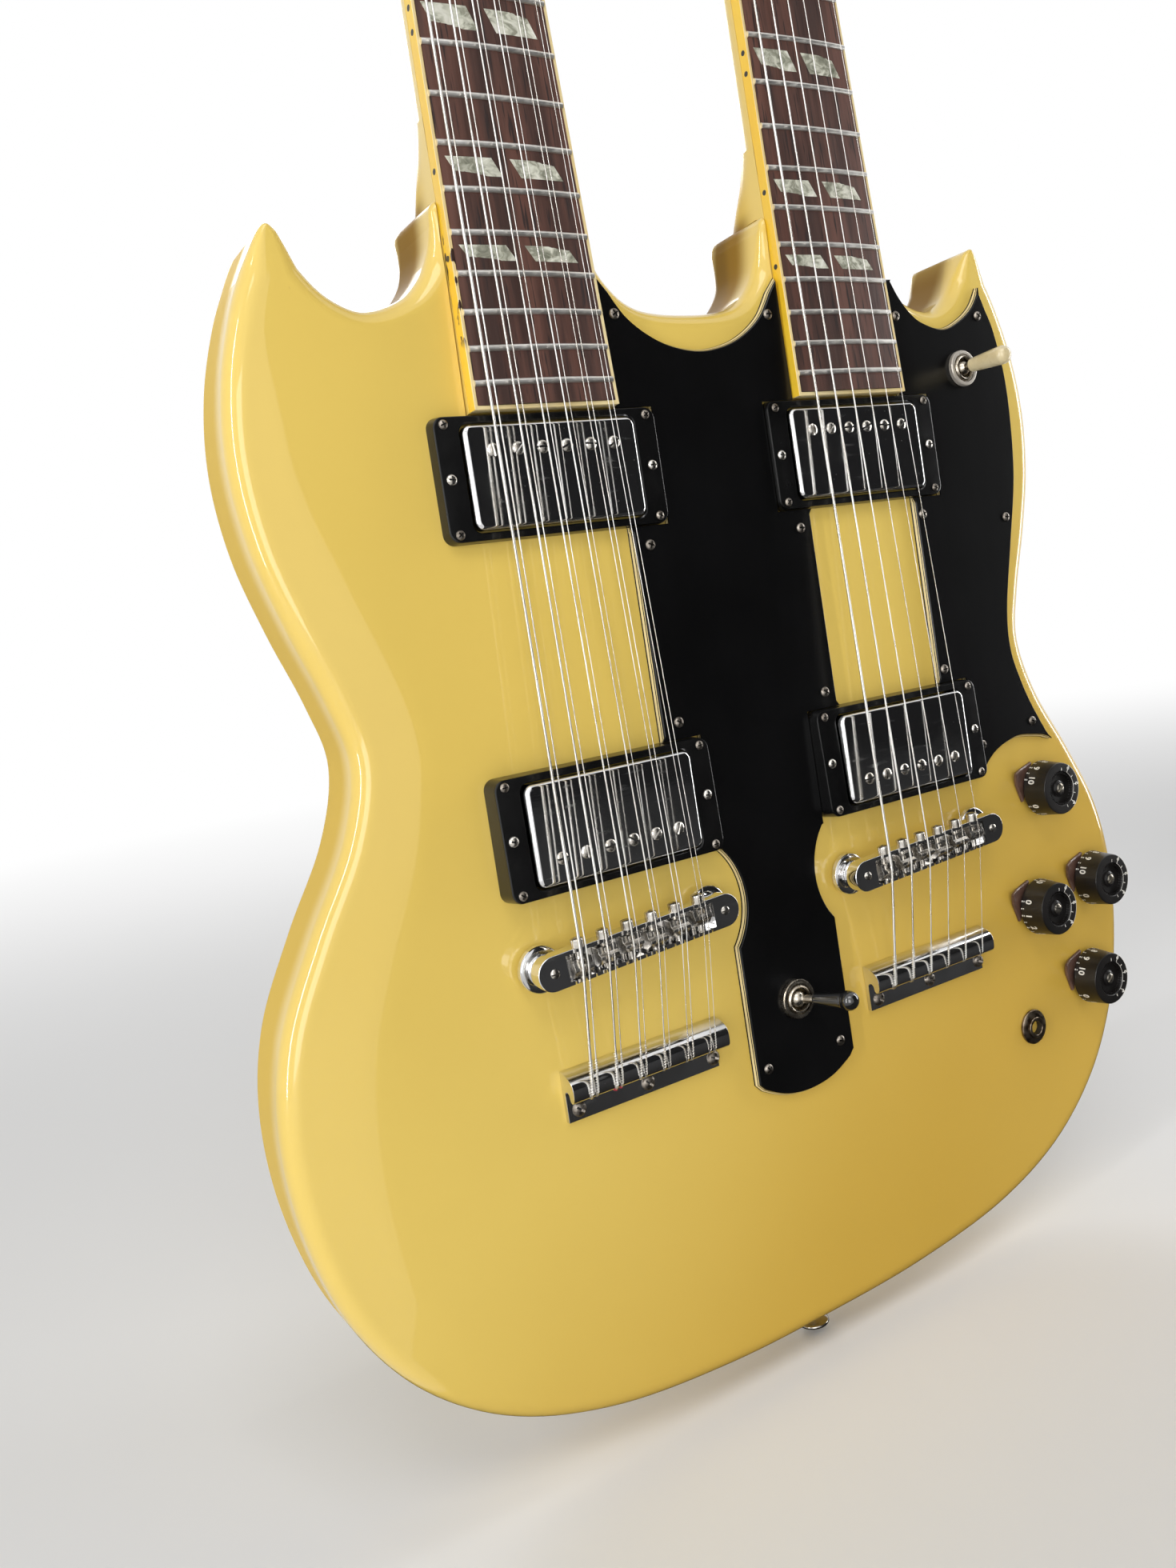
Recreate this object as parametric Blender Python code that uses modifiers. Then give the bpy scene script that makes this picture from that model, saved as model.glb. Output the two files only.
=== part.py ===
"""Double-neck electric guitar: a twelve-string neck at -X and a six-string neck at +X on one body.

The origin is on the flat back of the body, on the centreline. +Z runs up along the necks,
the front faces -Y, and every length is in metres.
"""
import math

import bmesh
import bpy
from mathutils import Matrix, Vector

MM = 0.001
GAP = 0.3 * MM  # clearance kept between pieces that touch

# Scale and necks
SCALE_LENGTH = 628.65 * MM
FRETS = 20
NECK_SPACING = 143.9 * MM
DRAWN_SPACING = 143.9 * MM  # the outlines below are drawn for this spacing and follow NECK_SPACING
LAST_FRET_Z = 160.0 * MM
NECK_ANGLE = math.radians(1.9)
NUT_WIDTH = 43.3 * MM
BOARD_END_WIDTH = 58.5 * MM
BOARD_TAIL = 9.0 * MM
BOARD_THICK = 6.2 * MM
BOARD_RADIUS = 305.0 * MM
BOARD_LIFT = 1.2 * MM
BINDING_WIDTH = 1.5 * MM
NUT_THICK = 5.0 * MM
HEEL_RISE = 65.0 * MM
HEEL_DEPTH = 30.0 * MM
SHAFT_DEPTH_HEEL = 17.6 * MM
SHAFT_DEPTH_NUT = 14.5 * MM
TONGUE_DEPTH = 4.5 * MM
TENON_WIDTH = 38.0 * MM
TENON_DEPTH = 22.0 * MM
TENON_END = 4.0 * MM

# Headstocks and tuners
HEAD_TILT = math.radians(14.0)
HEAD_THICK = 14.5 * MM
HEAD_DROP = 1.0 * MM
HEAD_WIDTH = 80.0 * MM
HEAD_TOP_MARGIN = 32.0 * MM
FIRST_POST = 45.0 * MM
POST_PITCH_TWELVE = 32.0 * MM
POST_PITCH_SIX = 37.0 * MM
POST_OFFSET = 24.0 * MM
POST_RADIUS = 3.0 * MM
POST_HEIGHT = 11.0 * MM
PLATE_WIDTH = 17.0 * MM
PLATE_THICK = 1.2 * MM
HOUSING_WIDTH = 13.0 * MM
HOUSING_LENGTH = 14.0 * MM
HOUSING_DEPTH = 9.0 * MM
WORM_RADIUS = 1.8 * MM
BUTTON_REACH = 3.0 * MM
BUTTON_LENGTH = 12.0 * MM
BUTTON_WIDTH = 15.0 * MM
BUTTON_THICK = 6.5 * MM

# Body
BODY_THICK = 35.0 * MM
EDGE_ROUND = 7.0 * MM
SHOULDER_HALF = 30.8 * MM
COVER_THICK = 2.4 * MM
COVER_LEDGE = 3.5 * MM
CONTROL_TOP_WALL = 8.0 * MM

# Pickguard
GUARD_THICK = 2.4 * MM
STRIP_HALF = 28.3 * MM
TREBLE_STRIP_EXTRA = 1.0 * MM
GUARD_CORNER_RISE = 6.0 * MM
TREBLE_GUARD_RISE = 0.5 * MM
GUARD_ARC = 28.3 * MM
GUARD_ARC_OUT = 11.6 * MM
GUARD_ARC_RISE = 1.3 * MM
GUARD_SHIFT = 1.2 * MM

# Pickups
RING_WIDTH = 91.0 * MM
RING_LENGTH = 43.5 * MM
RING_CORNER = 4.0 * MM
NECK_RING_HEIGHT = 4.4 * MM
BRIDGE_RING_HEIGHT = 7.8 * MM
BRIDGE_RING_RISE = 1.4 * MM
COVER_WIDTH = 69.5 * MM
COVER_LENGTH = 36.0 * MM
COVER_CORNER = 3.2 * MM
NECK_COVER_HEIGHT = 6.0 * MM
BRIDGE_COVER_HEIGHT = 10.0 * MM
COVER_SINK = 8.0 * MM
WINDOW_CLEARANCE = 0.6 * MM
NECK_RING_CLEAR = 0.65 * MM
BRIDGE_RING_CLEAR = 22.35 * MM

# Bridges and tailpieces
BRIDGE_SLANT = math.radians(2.9)
BRIDGE_SET_BACK = 1.1 * MM
POST_SPACING = 73.2 * MM
BAR_LENGTH = 86.0 * MM
BAR_WIDTH = 12.2 * MM
BAR_THICK = 5.8 * MM
BAR_TOP = 14.2 * MM
STUD_RADIUS = 2.2 * MM
STUD_SINK = 7.0 * MM
WHEEL_RADIUS = 8.3 * MM
WHEEL_THICK = 2.6 * MM
WHEEL_LIFT = 2.2 * MM
SADDLE_WIDTH = 7.6 * MM
SADDLE_LENGTH = 5.2 * MM
STRING_HEIGHT_SADDLE = 17.6 * MM
STRING_HEIGHT_NUT = 1.4 * MM
TAIL_WIDTH = 68.0 * MM
TAIL_DROP = {"twelve": 58.2 * MM, "six": 60.0 * MM}
BALL_ROD_RADIUS = 1.2 * MM
BALL_RISE = 9.7 * MM
BALL_HEIGHT = 3.7 * MM
WRAP_RISE = 6.9 * MM
WRAP_HEIGHT = 9.4 * MM

# Strings, thick to thin, in millimetres
STRING_SPREAD_NUT = 35.5 * MM
STRING_SPREAD_SADDLE = 51.5 * MM
PAIR_SPLIT_NUT = 1.8 * MM
PAIR_SPLIT_SADDLE = 2.2 * MM
GAUGES_SIX = (1.07, 0.81, 0.61, 0.43, 0.33, 0.25)
GAUGES_TWELVE = (1.07, 0.56, 0.81, 0.43, 0.61, 0.33, 0.51, 0.25, 0.33, 0.33, 0.25, 0.25)

# Controls
KNOB_PLACES = {
    "knob_volume_twelve": (156.3, -29.6),
    "knob_volume_six": (182.0, -77.1),
    "knob_tone_twelve": (144.2, -81.5),
    "knob_tone_six": (172.5, -121.1),
}
KNOB_RADIUS = 12.4 * MM
KNOB_TOP_RADIUS = 11.5 * MM
KNOB_HEIGHT = 10.8 * MM
KNOB_LIFT = 2.5 * MM
KNOB_CROWN = 3.0 * MM
SHAFT_RADIUS = 3.0 * MM
POT_RADIUS = 8.5 * MM
POT_DEPTH = 10.0 * MM
POT_BUSH_RADIUS = 4.4 * MM
JACK_PLACE = (131.8, -134.0)
JACK_NUT_RADIUS = 7.6 * MM
JACK_SLEEVE_RADIUS = 4.7 * MM
JACK_BORE_RADIUS = 3.25 * MM
JACK_LENGTH = 20.0 * MM
TOGGLE_PLACES = {"tail": (0.0, -82.6), "horn": (140.6, 160.5)}
TOGGLE_THROW = math.radians(25.0)
TOGGLE_NUT_RADIUS = 7.8 * MM
TOGGLE_BUSH_RADIUS = 6.0 * MM
TOGGLE_BORE_RADIUS = 4.0 * MM
TOGGLE_NUT_THICK = 3.0 * MM
TOGGLE_BOX = 22.0 * MM
TOGGLE_REACH = 26.0 * MM
TOGGLE_PIN = 5.0 * MM
BUTTON_PIN_LENGTH = 10.0 * MM
BUTTON_PIN_RADIUS = 6.5 * MM

# Right half of the body's edge in millimetres, from the bottom centre up to the outer shoulder
BODY_EDGE = (
    (0.0, -213.5), (50.0, -212.3), (100.0, -206.0), (140.0, -192.0), (170.0, -169.5),
    (190.0, -140.0), (200.5, -106.0), (203.0, -72.0), (197.5, -42.0), (183.5, -13.5),
    (167.5, 14.0), (160.3, 39.0), (165.0, 61.0), (174.0, 86.5), (181.5, 113.0),
    (184.2, 140.0), (181.5, 166.0), (174.5, 190.0), (166.0, 208.0), (161.8, 214.0),
    (158.4, 213.4), (155.5, 209.5), (150.8, 201.7), (145.2, 194.8), (139.2, 190.5),
    (132.6, 188.1), (125.5, 188.7), (118.0, 191.4), (112.8, 194.9), (107.2, 201.4),
    (103.9, 208.8), (102.8, 216.0),
)
# The cutaway between the necks, right half in millimetres, from the inner shoulder to the centre
CENTRE_CUT = (
    (40.7, 219.0), (38.0, 204.5), (31.5, 195.0), (24.0, 189.7), (14.0, 187.3), (0.0, 186.7),
)
# The centre guard's upper edge, right half, and its rounded tail, as heights under the cutaway
CENTRE_GUARD_TOP = ((0.0, -15.0), (12.0, -13.2), (22.0, -9.0), (31.0, -2.2), (37.5, 7.0))
CENTRE_GUARD_TAIL = ((25.3, -13.5), (22.5, -16.5), (12.0, -21.5), (0.0, -23.2))
# The treble guard: its cutaway, its outer side and its lower edge in millimetres
TREBLE_GUARD_CUT = (
    (105.7, 199.5), (109.5, 192.5), (114.9, 186.0), (121.3, 181.8), (133.0, 179.0),
    (143.6, 182.5), (152.5, 188.5), (158.5, 196.6),
)
TREBLE_GUARD_SIDE = (
    (165.8, 177.0), (169.2, 157.2), (169.2, 135.4), (166.3, 110.2), (158.5, 81.7),
    (150.7, 53.6), (149.3, 35.6), (153.2, 20.5), (158.7, 7.5), (167.8, -9.0),
)
TREBLE_GUARD_LOW = (
    (160.3, -6.7), (148.5, -4.8), (141.5, -5.3), (133.0, -7.7), (127.0, -11.0), (121.0, -16.2),
)
# The folded tailpiece's section in millimetres: up from its screwed edge, and above the face
TAIL_SECTION = (
    (0.0, 0.3), (18.4, 0.3), (18.4, 1.8), (17.6, 3.8), (16.4, 6.3), (14.8, 8.0),
    (12.8, 8.5), (9.6, 8.3), (8.4, 7.5), (8.0, 6.2), (8.7, 5.4), (10.6, 5.3),
    (11.6, 3.8), (10.9, 2.1), (0.0, 2.1),
)
# The control cavity's edge in millimetres
CONTROL_EDGE = (
    (151.0, -16.0), (171.0, -24.0), (185.0, -48.0), (192.5, -77.0), (188.5, -105.0),
    (180.5, -130.0), (160.0, -144.0), (134.0, -146.5), (118.0, -134.0), (122.0, -108.0),
    (127.0, -78.0), (134.0, -45.0), (139.0, -23.0),
)

# Places worked out from the sizes above, all of them in metres
FACE_Y = -BODY_THICK
NUT_RISE = SCALE_LENGTH * (1.0 - 2.0 ** (-FRETS / 12.0))
BRIDGE_Z = LAST_FRET_Z + NUT_RISE - SCALE_LENGTH - BRIDGE_SET_BACK
NECK_PICKUP_Z = LAST_FRET_Z - BOARD_TAIL - NECK_RING_CLEAR - RING_LENGTH / 2.0
BRIDGE_PICKUP_Z = BRIDGE_Z + BRIDGE_RING_CLEAR + RING_LENGTH / 2.0
TAIL_Z = {key: BRIDGE_Z - drop for key, drop in TAIL_DROP.items()}
BOARD_EDGE_THICK = BOARD_THICK - BOARD_END_WIDTH ** 2 / (8.0 * BOARD_RADIUS)
GUARD_TOP = GAP + GUARD_THICK
POSTS = {"twelve": 6, "six": 3}
PITCH = {"twelve": POST_PITCH_TWELVE, "six": POST_PITCH_SIX}
SIDE = {"twelve": -1.0, "six": 1.0}
GAUGES = {"twelve": GAUGES_TWELVE, "six": GAUGES_SIX}

FINISHES = {
    "cream_lacquer": ((0.80, 0.62, 0.27, 1.0), 0.18, 0.0),
    "black_gloss": ((0.012, 0.012, 0.013, 1.0), 0.2, 0.0),
    "black_plastic": ((0.02, 0.019, 0.018, 1.0), 0.35, 0.0),
    "rosewood": ((0.075, 0.032, 0.022, 1.0), 0.55, 0.0),
    "ivory_plastic": ((0.80, 0.66, 0.38, 1.0), 0.4, 0.0),
    "chrome": ((0.78, 0.78, 0.80, 1.0), 0.08, 1.0),
    "nickel": ((0.66, 0.63, 0.58, 1.0), 0.25, 1.0),
    "steel": ((0.55, 0.55, 0.56, 1.0), 0.3, 1.0),
    "brown_plastic": ((0.03, 0.018, 0.012, 1.0), 0.3, 0.0),
}


def start_clean():
    for old in list(bpy.data.objects):
        bpy.data.objects.remove(old, do_unlink=True)


def make_collection(name):
    made = bpy.data.collections.new(name)
    bpy.context.scene.collection.children.link(made)
    return made


def make_material(name, finish):
    colour, roughness, metallic = FINISHES[finish]
    material = bpy.data.materials.new(name + "_" + finish)
    material.use_nodes = True
    shader = material.node_tree.nodes["Principled BSDF"]
    shader.inputs["Base Color"].default_value = colour
    shader.inputs["Roughness"].default_value = roughness
    shader.inputs["Metallic"].default_value = metallic
    return material


def new_object(name, mesh, frame=None):
    """Put a mesh in the cutters until it is finished as a part."""
    obj = bpy.data.objects.new(name, mesh)
    CUTTERS.objects.link(obj)
    obj.hide_render = True
    obj.display_type = "WIRE"
    obj.parent = frame
    return obj


def as_part(obj, finish):
    """Move an object from the cutters to the guitar and give it its own material."""
    CUTTERS.objects.unlink(obj)
    GUITAR.objects.link(obj)
    obj.hide_render = False
    obj.display_type = "TEXTURED"
    obj.data.materials.clear()
    obj.data.materials.append(make_material(obj.name, finish))
    obj.data.shade_smooth()
    obj.data.set_sharp_from_angle(angle=math.radians(32.0))
    return obj


def mesh_of(name, bm):
    mesh = bpy.data.meshes.new(name)
    bmesh.ops.recalc_face_normals(bm, faces=bm.faces[:])
    bm.to_mesh(mesh)
    bm.free()
    return mesh


def loft(name, rings, frame=None):
    """A closed solid through rings that have the same number of points."""
    bm = bmesh.new()
    loops = [[bm.verts.new(point) for point in ring] for ring in rings]
    count = len(rings[0])
    for near, far in zip(loops, loops[1:]):
        for i in range(count):
            j = (i + 1) % count
            bm.faces.new((near[i], near[j], far[j], far[i]))
    bm.faces.new(loops[0])
    bm.faces.new(loops[-1])
    return new_object(name, mesh_of(name, bm), frame)


def box(name, low, high, frame=None):
    bm = bmesh.new()
    bmesh.ops.create_cube(bm, size=1.0)
    low = Vector(low)
    high = Vector(high)
    for vert in bm.verts:
        vert.co = Vector(a + (b - a) * (c + 0.5) for a, b, c in zip(low, high, vert.co))
    return new_object(name, mesh_of(name, bm), frame)


def rod(name, start, end, radius, segments=16, frame=None, end_radius=None):
    """A cylinder or cone between two points."""
    start = Vector(start)
    end = Vector(end)
    bm = bmesh.new()
    bmesh.ops.create_cone(
        bm, cap_ends=True, segments=segments, radius1=radius,
        radius2=radius if end_radius is None else end_radius, depth=(end - start).length,
    )
    turn = (end - start).to_track_quat("Z", "Y").to_matrix().to_4x4()
    bmesh.ops.transform(bm, matrix=Matrix.Translation((start + end) / 2.0) @ turn, verts=bm.verts[:])
    return new_object(name, mesh_of(name, bm), frame)


def turned(name, profile, place, steps=24, frame=None, turn=(math.radians(90.0), 0.0, 0.0)):
    """Turn a profile of (radius, height) about the line that leaves the face at a place.

    The profile runs down the outer side from the top. Heights go out along -Y unless turned.
    """
    bm = bmesh.new()
    verts = [bm.verts.new((radius, 0.0, height)) for radius, height in profile]
    for a, b in zip(verts, verts[1:]):
        bm.edges.new((a, b))
    if profile[0][0] > 0.0:
        bm.edges.new((verts[-1], verts[0]))
    mesh = bpy.data.meshes.new(name)
    bm.to_mesh(mesh)
    bm.free()
    obj = new_object(name, mesh, frame)
    obj.location = place
    obj.rotation_euler = turn
    screw = obj.modifiers.new("turn", "SCREW")
    screw.steps = steps
    screw.render_steps = steps
    screw.use_merge_vertices = True
    screw.merge_threshold = 0.00001
    return obj


def plate(name, outline, near, far, frame=None):
    """A flat plate from an outline of (x, z) points, between two depths along Y."""
    return loft(name, [[(x, y, z) for x, z in outline] for y in (near, far)], frame)


def mesh_from_curve(name, drawn, place, frame):
    """Make a curve a welded mesh with its place applied, and remove the curve."""
    bpy.context.view_layer.update()
    graph = bpy.context.evaluated_depsgraph_get()
    mesh = bpy.data.meshes.new_from_object(drawn.evaluated_get(graph))
    bm = bmesh.new()
    bm.from_mesh(mesh)
    bmesh.ops.remove_doubles(bm, verts=bm.verts[:], dist=0.00001)
    bmesh.ops.transform(bm, matrix=place, verts=bm.verts[:])
    bpy.data.objects.remove(drawn, do_unlink=True)
    return new_object(name, mesh_of(name, bm), frame)


def combine(target, other, operation):
    step = target.modifiers.new(operation.lower() + "_" + other.name, "BOOLEAN")
    step.operation = operation
    step.object = other
    step.solver = "EXACT"
    return target


def cut(target, *cutters):
    for cutter in cutters:
        combine(target, cutter, "DIFFERENCE")
    return target


def join(target, *pieces):
    for piece in pieces:
        combine(target, piece, "UNION")
    return target


def smooth(points, steps, before=None, after=None):
    """Points along a smooth curve through the given ones, without the last."""
    first = before or points[0]
    last = after or points[-1]
    padded = [first] + list(points) + [last]
    made = []
    for a, b, c, d in zip(padded, padded[1:], padded[2:], padded[3:]):
        for k in range(steps):
            t = k / steps
            made.append(tuple(
                0.5 * (2.0 * q + (r - p) * t + (2.0 * p - 5.0 * q + 4.0 * r - s) * t * t
                       + (3.0 * q - p - 3.0 * r + s) * t ** 3)
                for p, q, r, s in zip(a, b, c, d)))
    return made


def ring_curve(points, steps):
    """A smooth closed curve through the points."""
    return smooth(list(points) + [points[0]], steps, before=points[-1], after=points[1])


def spread(x):
    """Where a drawn distance from the centreline lies at the present neck spacing."""
    inner = DRAWN_SPACING / 2.0 - SHOULDER_HALF
    share = max(-1.0, min(1.0, x / inner))
    return x + share * (NECK_SPACING - DRAWN_SPACING) / 2.0


def metres(points):
    """Drawn points in millimetres as metres at the present neck spacing."""
    return [(spread(x * MM), z * MM) for x, z in points]


def mirrored(points):
    return [(-x, z) for x, z in reversed(points)]


def inward(outline):
    """Unit normals that point into an outline, whichever way it runs."""
    area = sum(a[0] * b[1] - b[0] * a[1] for a, b in zip(outline, outline[1:] + outline[:1]))
    sign = 1.0 if area > 0.0 else -1.0
    normals = []
    for i, point in enumerate(outline):
        before = outline[i - 1]
        after = outline[(i + 1) % len(outline)]
        dx = after[0] - before[0]
        dz = after[1] - before[1]
        length = math.hypot(dx, dz)
        normals.append((-sign * dz / length, sign * dx / length))
    return normals


def inset(outline, distance):
    """Move each point in by a distance, or less where the outline is narrower than that."""
    normals = inward(outline)
    moved = []
    for i, (point, normal) in enumerate(zip(outline, normals)):
        room = abs(distance)
        for other in outline:
            dx = other[0] - point[0]
            dz = other[1] - point[1]
            ahead = dx * normal[0] + dz * normal[1]
            if distance > 0.0 and ahead > 1e-6:
                room = min(room, 0.8 * (dx * dx + dz * dz) / (2.0 * ahead))
        step = math.copysign(room, distance)
        moved.append((point[0] + normal[0] * step, point[1] + normal[1] * step))
    return moved


def rounded_rect(width, length, corner, centre=(0.0, 0.0), steps=4):
    points = []
    for sx, sz, start in ((1, 1, 0.0), (-1, 1, 90.0), (-1, -1, 180.0), (1, -1, 270.0)):
        for k in range(steps + 1):
            angle = math.radians(start + 90.0 * k / steps)
            x = centre[0] + sx * (width / 2.0 - corner) + corner * math.cos(angle)
            z = centre[1] + sz * (length / 2.0 - corner) + corner * math.sin(angle)
            points.append((x, z))
    return points


def board_half(rise, margin=0.0):
    """Half the width of the board and its binding at a height above the last fret."""
    share = (rise + BOARD_TAIL) / (NUT_RISE + BOARD_TAIL)
    return (BOARD_END_WIDTH + (NUT_WIDTH - BOARD_END_WIDTH) * share) / 2.0 + margin


def board_top(x):
    return -(BOARD_THICK - x * x / (2.0 * BOARD_RADIUS))


def make_frames():
    """One empty for each neck at its last fret, for each headstock and for each bridge."""
    frames = {}
    for key, side in SIDE.items():
        neck = bpy.data.objects.new("frame_neck_" + key, None)
        neck.location = (side * NECK_SPACING / 2.0, FACE_Y - BOARD_LIFT, LAST_FRET_Z)
        neck.rotation_euler = (-NECK_ANGLE, 0.0, 0.0)
        head = bpy.data.objects.new("frame_head_" + key, None)
        head.parent = neck
        head.location = (0.0, HEAD_DROP, NUT_RISE + NUT_THICK)
        head.rotation_euler = (-HEAD_TILT, 0.0, 0.0)
        bridge = bpy.data.objects.new("frame_bridge_" + key, None)
        bridge.location = (side * NECK_SPACING / 2.0, FACE_Y, BRIDGE_Z)
        bridge.rotation_euler = (0.0, -BRIDGE_SLANT, 0.0)
        frames[key] = {"neck": neck, "head": head, "bridge": bridge}
        for empty in (neck, head, bridge):
            GUITAR.objects.link(empty)
    bpy.context.view_layer.update()
    return frames


def body_outline():
    edge = smooth(BODY_EDGE, 2, before=(-BODY_EDGE[1][0], BODY_EDGE[1][1]))
    edge = metres(edge + [BODY_EDGE[-1]])
    centre = smooth(CENTRE_CUT, 2, after=(-CENTRE_CUT[-2][0], CENTRE_CUT[-2][1]))
    shoulder = LAST_FRET_Z + HEEL_RISE + 2.0 * MM
    corners = [(NECK_SPACING / 2.0 + SHOULDER_HALF, shoulder),
               (NECK_SPACING / 2.0 - SHOULDER_HALF, shoulder)]
    right = edge + corners + metres(centre) + [(0.0, CENTRE_CUT[-1][1] * MM)]
    return right + mirrored(right[1:-1])


def neck_foot(name, frame, grow, top):
    """The neck's wide tongue under the board and its deep tenon, as two blocks."""
    blocks = []
    rings = []
    for rise in (-BOARD_TAIL - grow, HEEL_RISE + 2.0 * MM):
        half = board_half(rise, grow)
        rings.append([(-half, top, rise), (half, top, rise),
                      (half, TONGUE_DEPTH + grow, rise), (-half, TONGUE_DEPTH + grow, rise)])
    blocks.append(loft(name + "_tongue", rings, frame))
    half = TENON_WIDTH / 2.0 + grow
    blocks.append(box(name + "_tenon", (-half, 1.0 * MM, TENON_END - grow),
                      (half, TENON_DEPTH + grow, HEEL_RISE + 2.0 * MM), frame))
    return blocks


def make_body(frames):
    """One slab with rounded edges, its pockets cut for the necks, pickups, studs and controls."""
    outline = body_outline()
    rings = []
    for part, sign, start in (("front", 1.0, FACE_Y), ("back", -1.0, 0.0)):
        levels = []
        for degrees in (90.0, 45.0, 0.0):
            angle = math.radians(degrees)
            margin = EDGE_ROUND * (1.0 - math.cos(angle))
            depth = start + sign * EDGE_ROUND * (1.0 - math.sin(angle))
            edge = inset(outline, margin) if margin > 0.0 else outline
            levels.append([(x, depth, z) for x, z in edge])
        rings += levels if part == "front" else levels[::-1]
    body = loft("body", rings)
    deep = BODY_THICK - CONTROL_TOP_WALL
    for key, frame in frames.items():
        centre = SIDE[key] * NECK_SPACING / 2.0
        cut(body, *neck_foot("pocket_" + key, frame["neck"], GAP, -12.0 * MM))
        heel = box("heel_room_" + key, (-36.0 * MM, -12.0 * MM, HEEL_RISE - GAP),
                   (36.0 * MM, 48.0 * MM, HEEL_RISE + 20.0 * MM), frame["neck"])
        cut(body, heel)
        for label, height in (("neck", NECK_PICKUP_Z), ("bridge", BRIDGE_PICKUP_Z)):
            cavity = rounded_rect(COVER_WIDTH + 3.0 * MM, COVER_LENGTH + 2.0 * MM,
                                  COVER_CORNER, (centre, height), 2)
            cut(body, plate("pickup_cavity_" + label + "_" + key, cavity, FACE_Y - 1.0 * MM,
                            FACE_Y + COVER_SINK + 6.0 * MM))
        for x in (-POST_SPACING / 2.0, POST_SPACING / 2.0):
            cut(body, rod("stud_hole_" + key + ("_low" if x < 0.0 else "_high"),
                          (x, -1.0 * MM, 0.0), (x, STUD_SINK + GAP, 0.0),
                          STUD_RADIUS + GAP, 12, frame["bridge"]))
    edge = ring_curve(metres(CONTROL_EDGE), 2)
    cut(body, plate("control_cavity", edge, -deep, 1.0 * MM))
    cut(body, plate("cover_seat", inset(edge, -COVER_LEDGE - GAP), -COVER_THICK - GAP, 1.0 * MM))
    for name, place in KNOB_PLACES.items():
        x, z = metres([place])[0]
        cut(body, rod("hole_" + name, (x, FACE_Y - 1.0 * MM, z), (x, -deep + 1.0 * MM, z),
                      POT_BUSH_RADIUS + GAP, 12))
    x, z = metres([JACK_PLACE])[0]
    cut(body, rod("jack_hole", (x, FACE_Y - 1.0 * MM, z), (x, -deep + 1.0 * MM, z),
                  JACK_SLEEVE_RADIUS + GAP, 16))
    half = TOGGLE_BOX / 2.0 + 1.0 * MM
    for name, place in TOGGLE_PLACES.items():
        x, z = metres([place])[0]
        cut(body, box("toggle_room_" + name, (x - half, FACE_Y - 1.0 * MM, z - half),
                      (x + half, FACE_Y + TOGGLE_BOX + 1.5 * MM, z + half)))
    return as_part(body, "cream_lacquer")


def guard_centre_outline():
    """Right half of the centre guard, from the cutaway down to its rounded tail."""
    ring_side = NECK_SPACING / 2.0 - RING_WIDTH / 2.0 - GAP
    strip = NECK_SPACING / 2.0 - STRIP_HALF
    reach = RING_LENGTH / 2.0 + GAP
    cut_low = CENTRE_CUT[-1][1] * MM
    cutaway = [(spread(x * MM), cut_low + z * MM) for x, z in CENTRE_GUARD_TOP]
    cutaway = smooth(cutaway, 2, before=(-cutaway[1][0], cutaway[1][1])) + [cutaway[-1]]
    board = NECK_SPACING / 2.0 - board_half(-BOARD_TAIL) - 2.0 * GAP
    corner = cutaway[-1][1] + GUARD_CORNER_RISE
    board_up = NECK_SPACING / 2.0 - board_half(corner - LAST_FRET_Z) - 2.0 * GAP
    sides = [(board_up, corner), (board, NECK_PICKUP_Z + reach),
             (ring_side, NECK_PICKUP_Z + reach), (ring_side, NECK_PICKUP_Z - reach),
             (strip, NECK_PICKUP_Z - reach), (strip, BRIDGE_PICKUP_Z + reach),
             (ring_side, BRIDGE_PICKUP_Z + reach), (ring_side, BRIDGE_PICKUP_Z - reach)]
    tail = [(spread(x * MM), TAIL_Z["twelve"] + z * MM) for x, z in CENTRE_GUARD_TAIL]
    centre = NECK_SPACING / 2.0 - POST_SPACING / 2.0 + GUARD_ARC_OUT
    first = math.acos((centre - ring_side) / GUARD_ARC)
    last = -math.acos((centre - tail[0][0]) / GUARD_ARC)
    arc = []
    for step in range(7):
        angle = first + (last - first) * step / 6.0
        arc.append((centre - GUARD_ARC * math.cos(angle),
                    BRIDGE_Z + GUARD_ARC_RISE + GUARD_ARC * math.sin(angle)))
    return cutaway + sides + arc + tail


def guard_centre_whole():
    """The centre guard's outline, with its part below the rings a little off the centreline."""
    half = guard_centre_outline()
    low = BRIDGE_PICKUP_Z - RING_LENGTH / 2.0 - 2.0 * GAP
    return [(x + (GUARD_SHIFT if z < low else 0.0), z) for x, z in half + mirrored(half[1:-1])]


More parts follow.
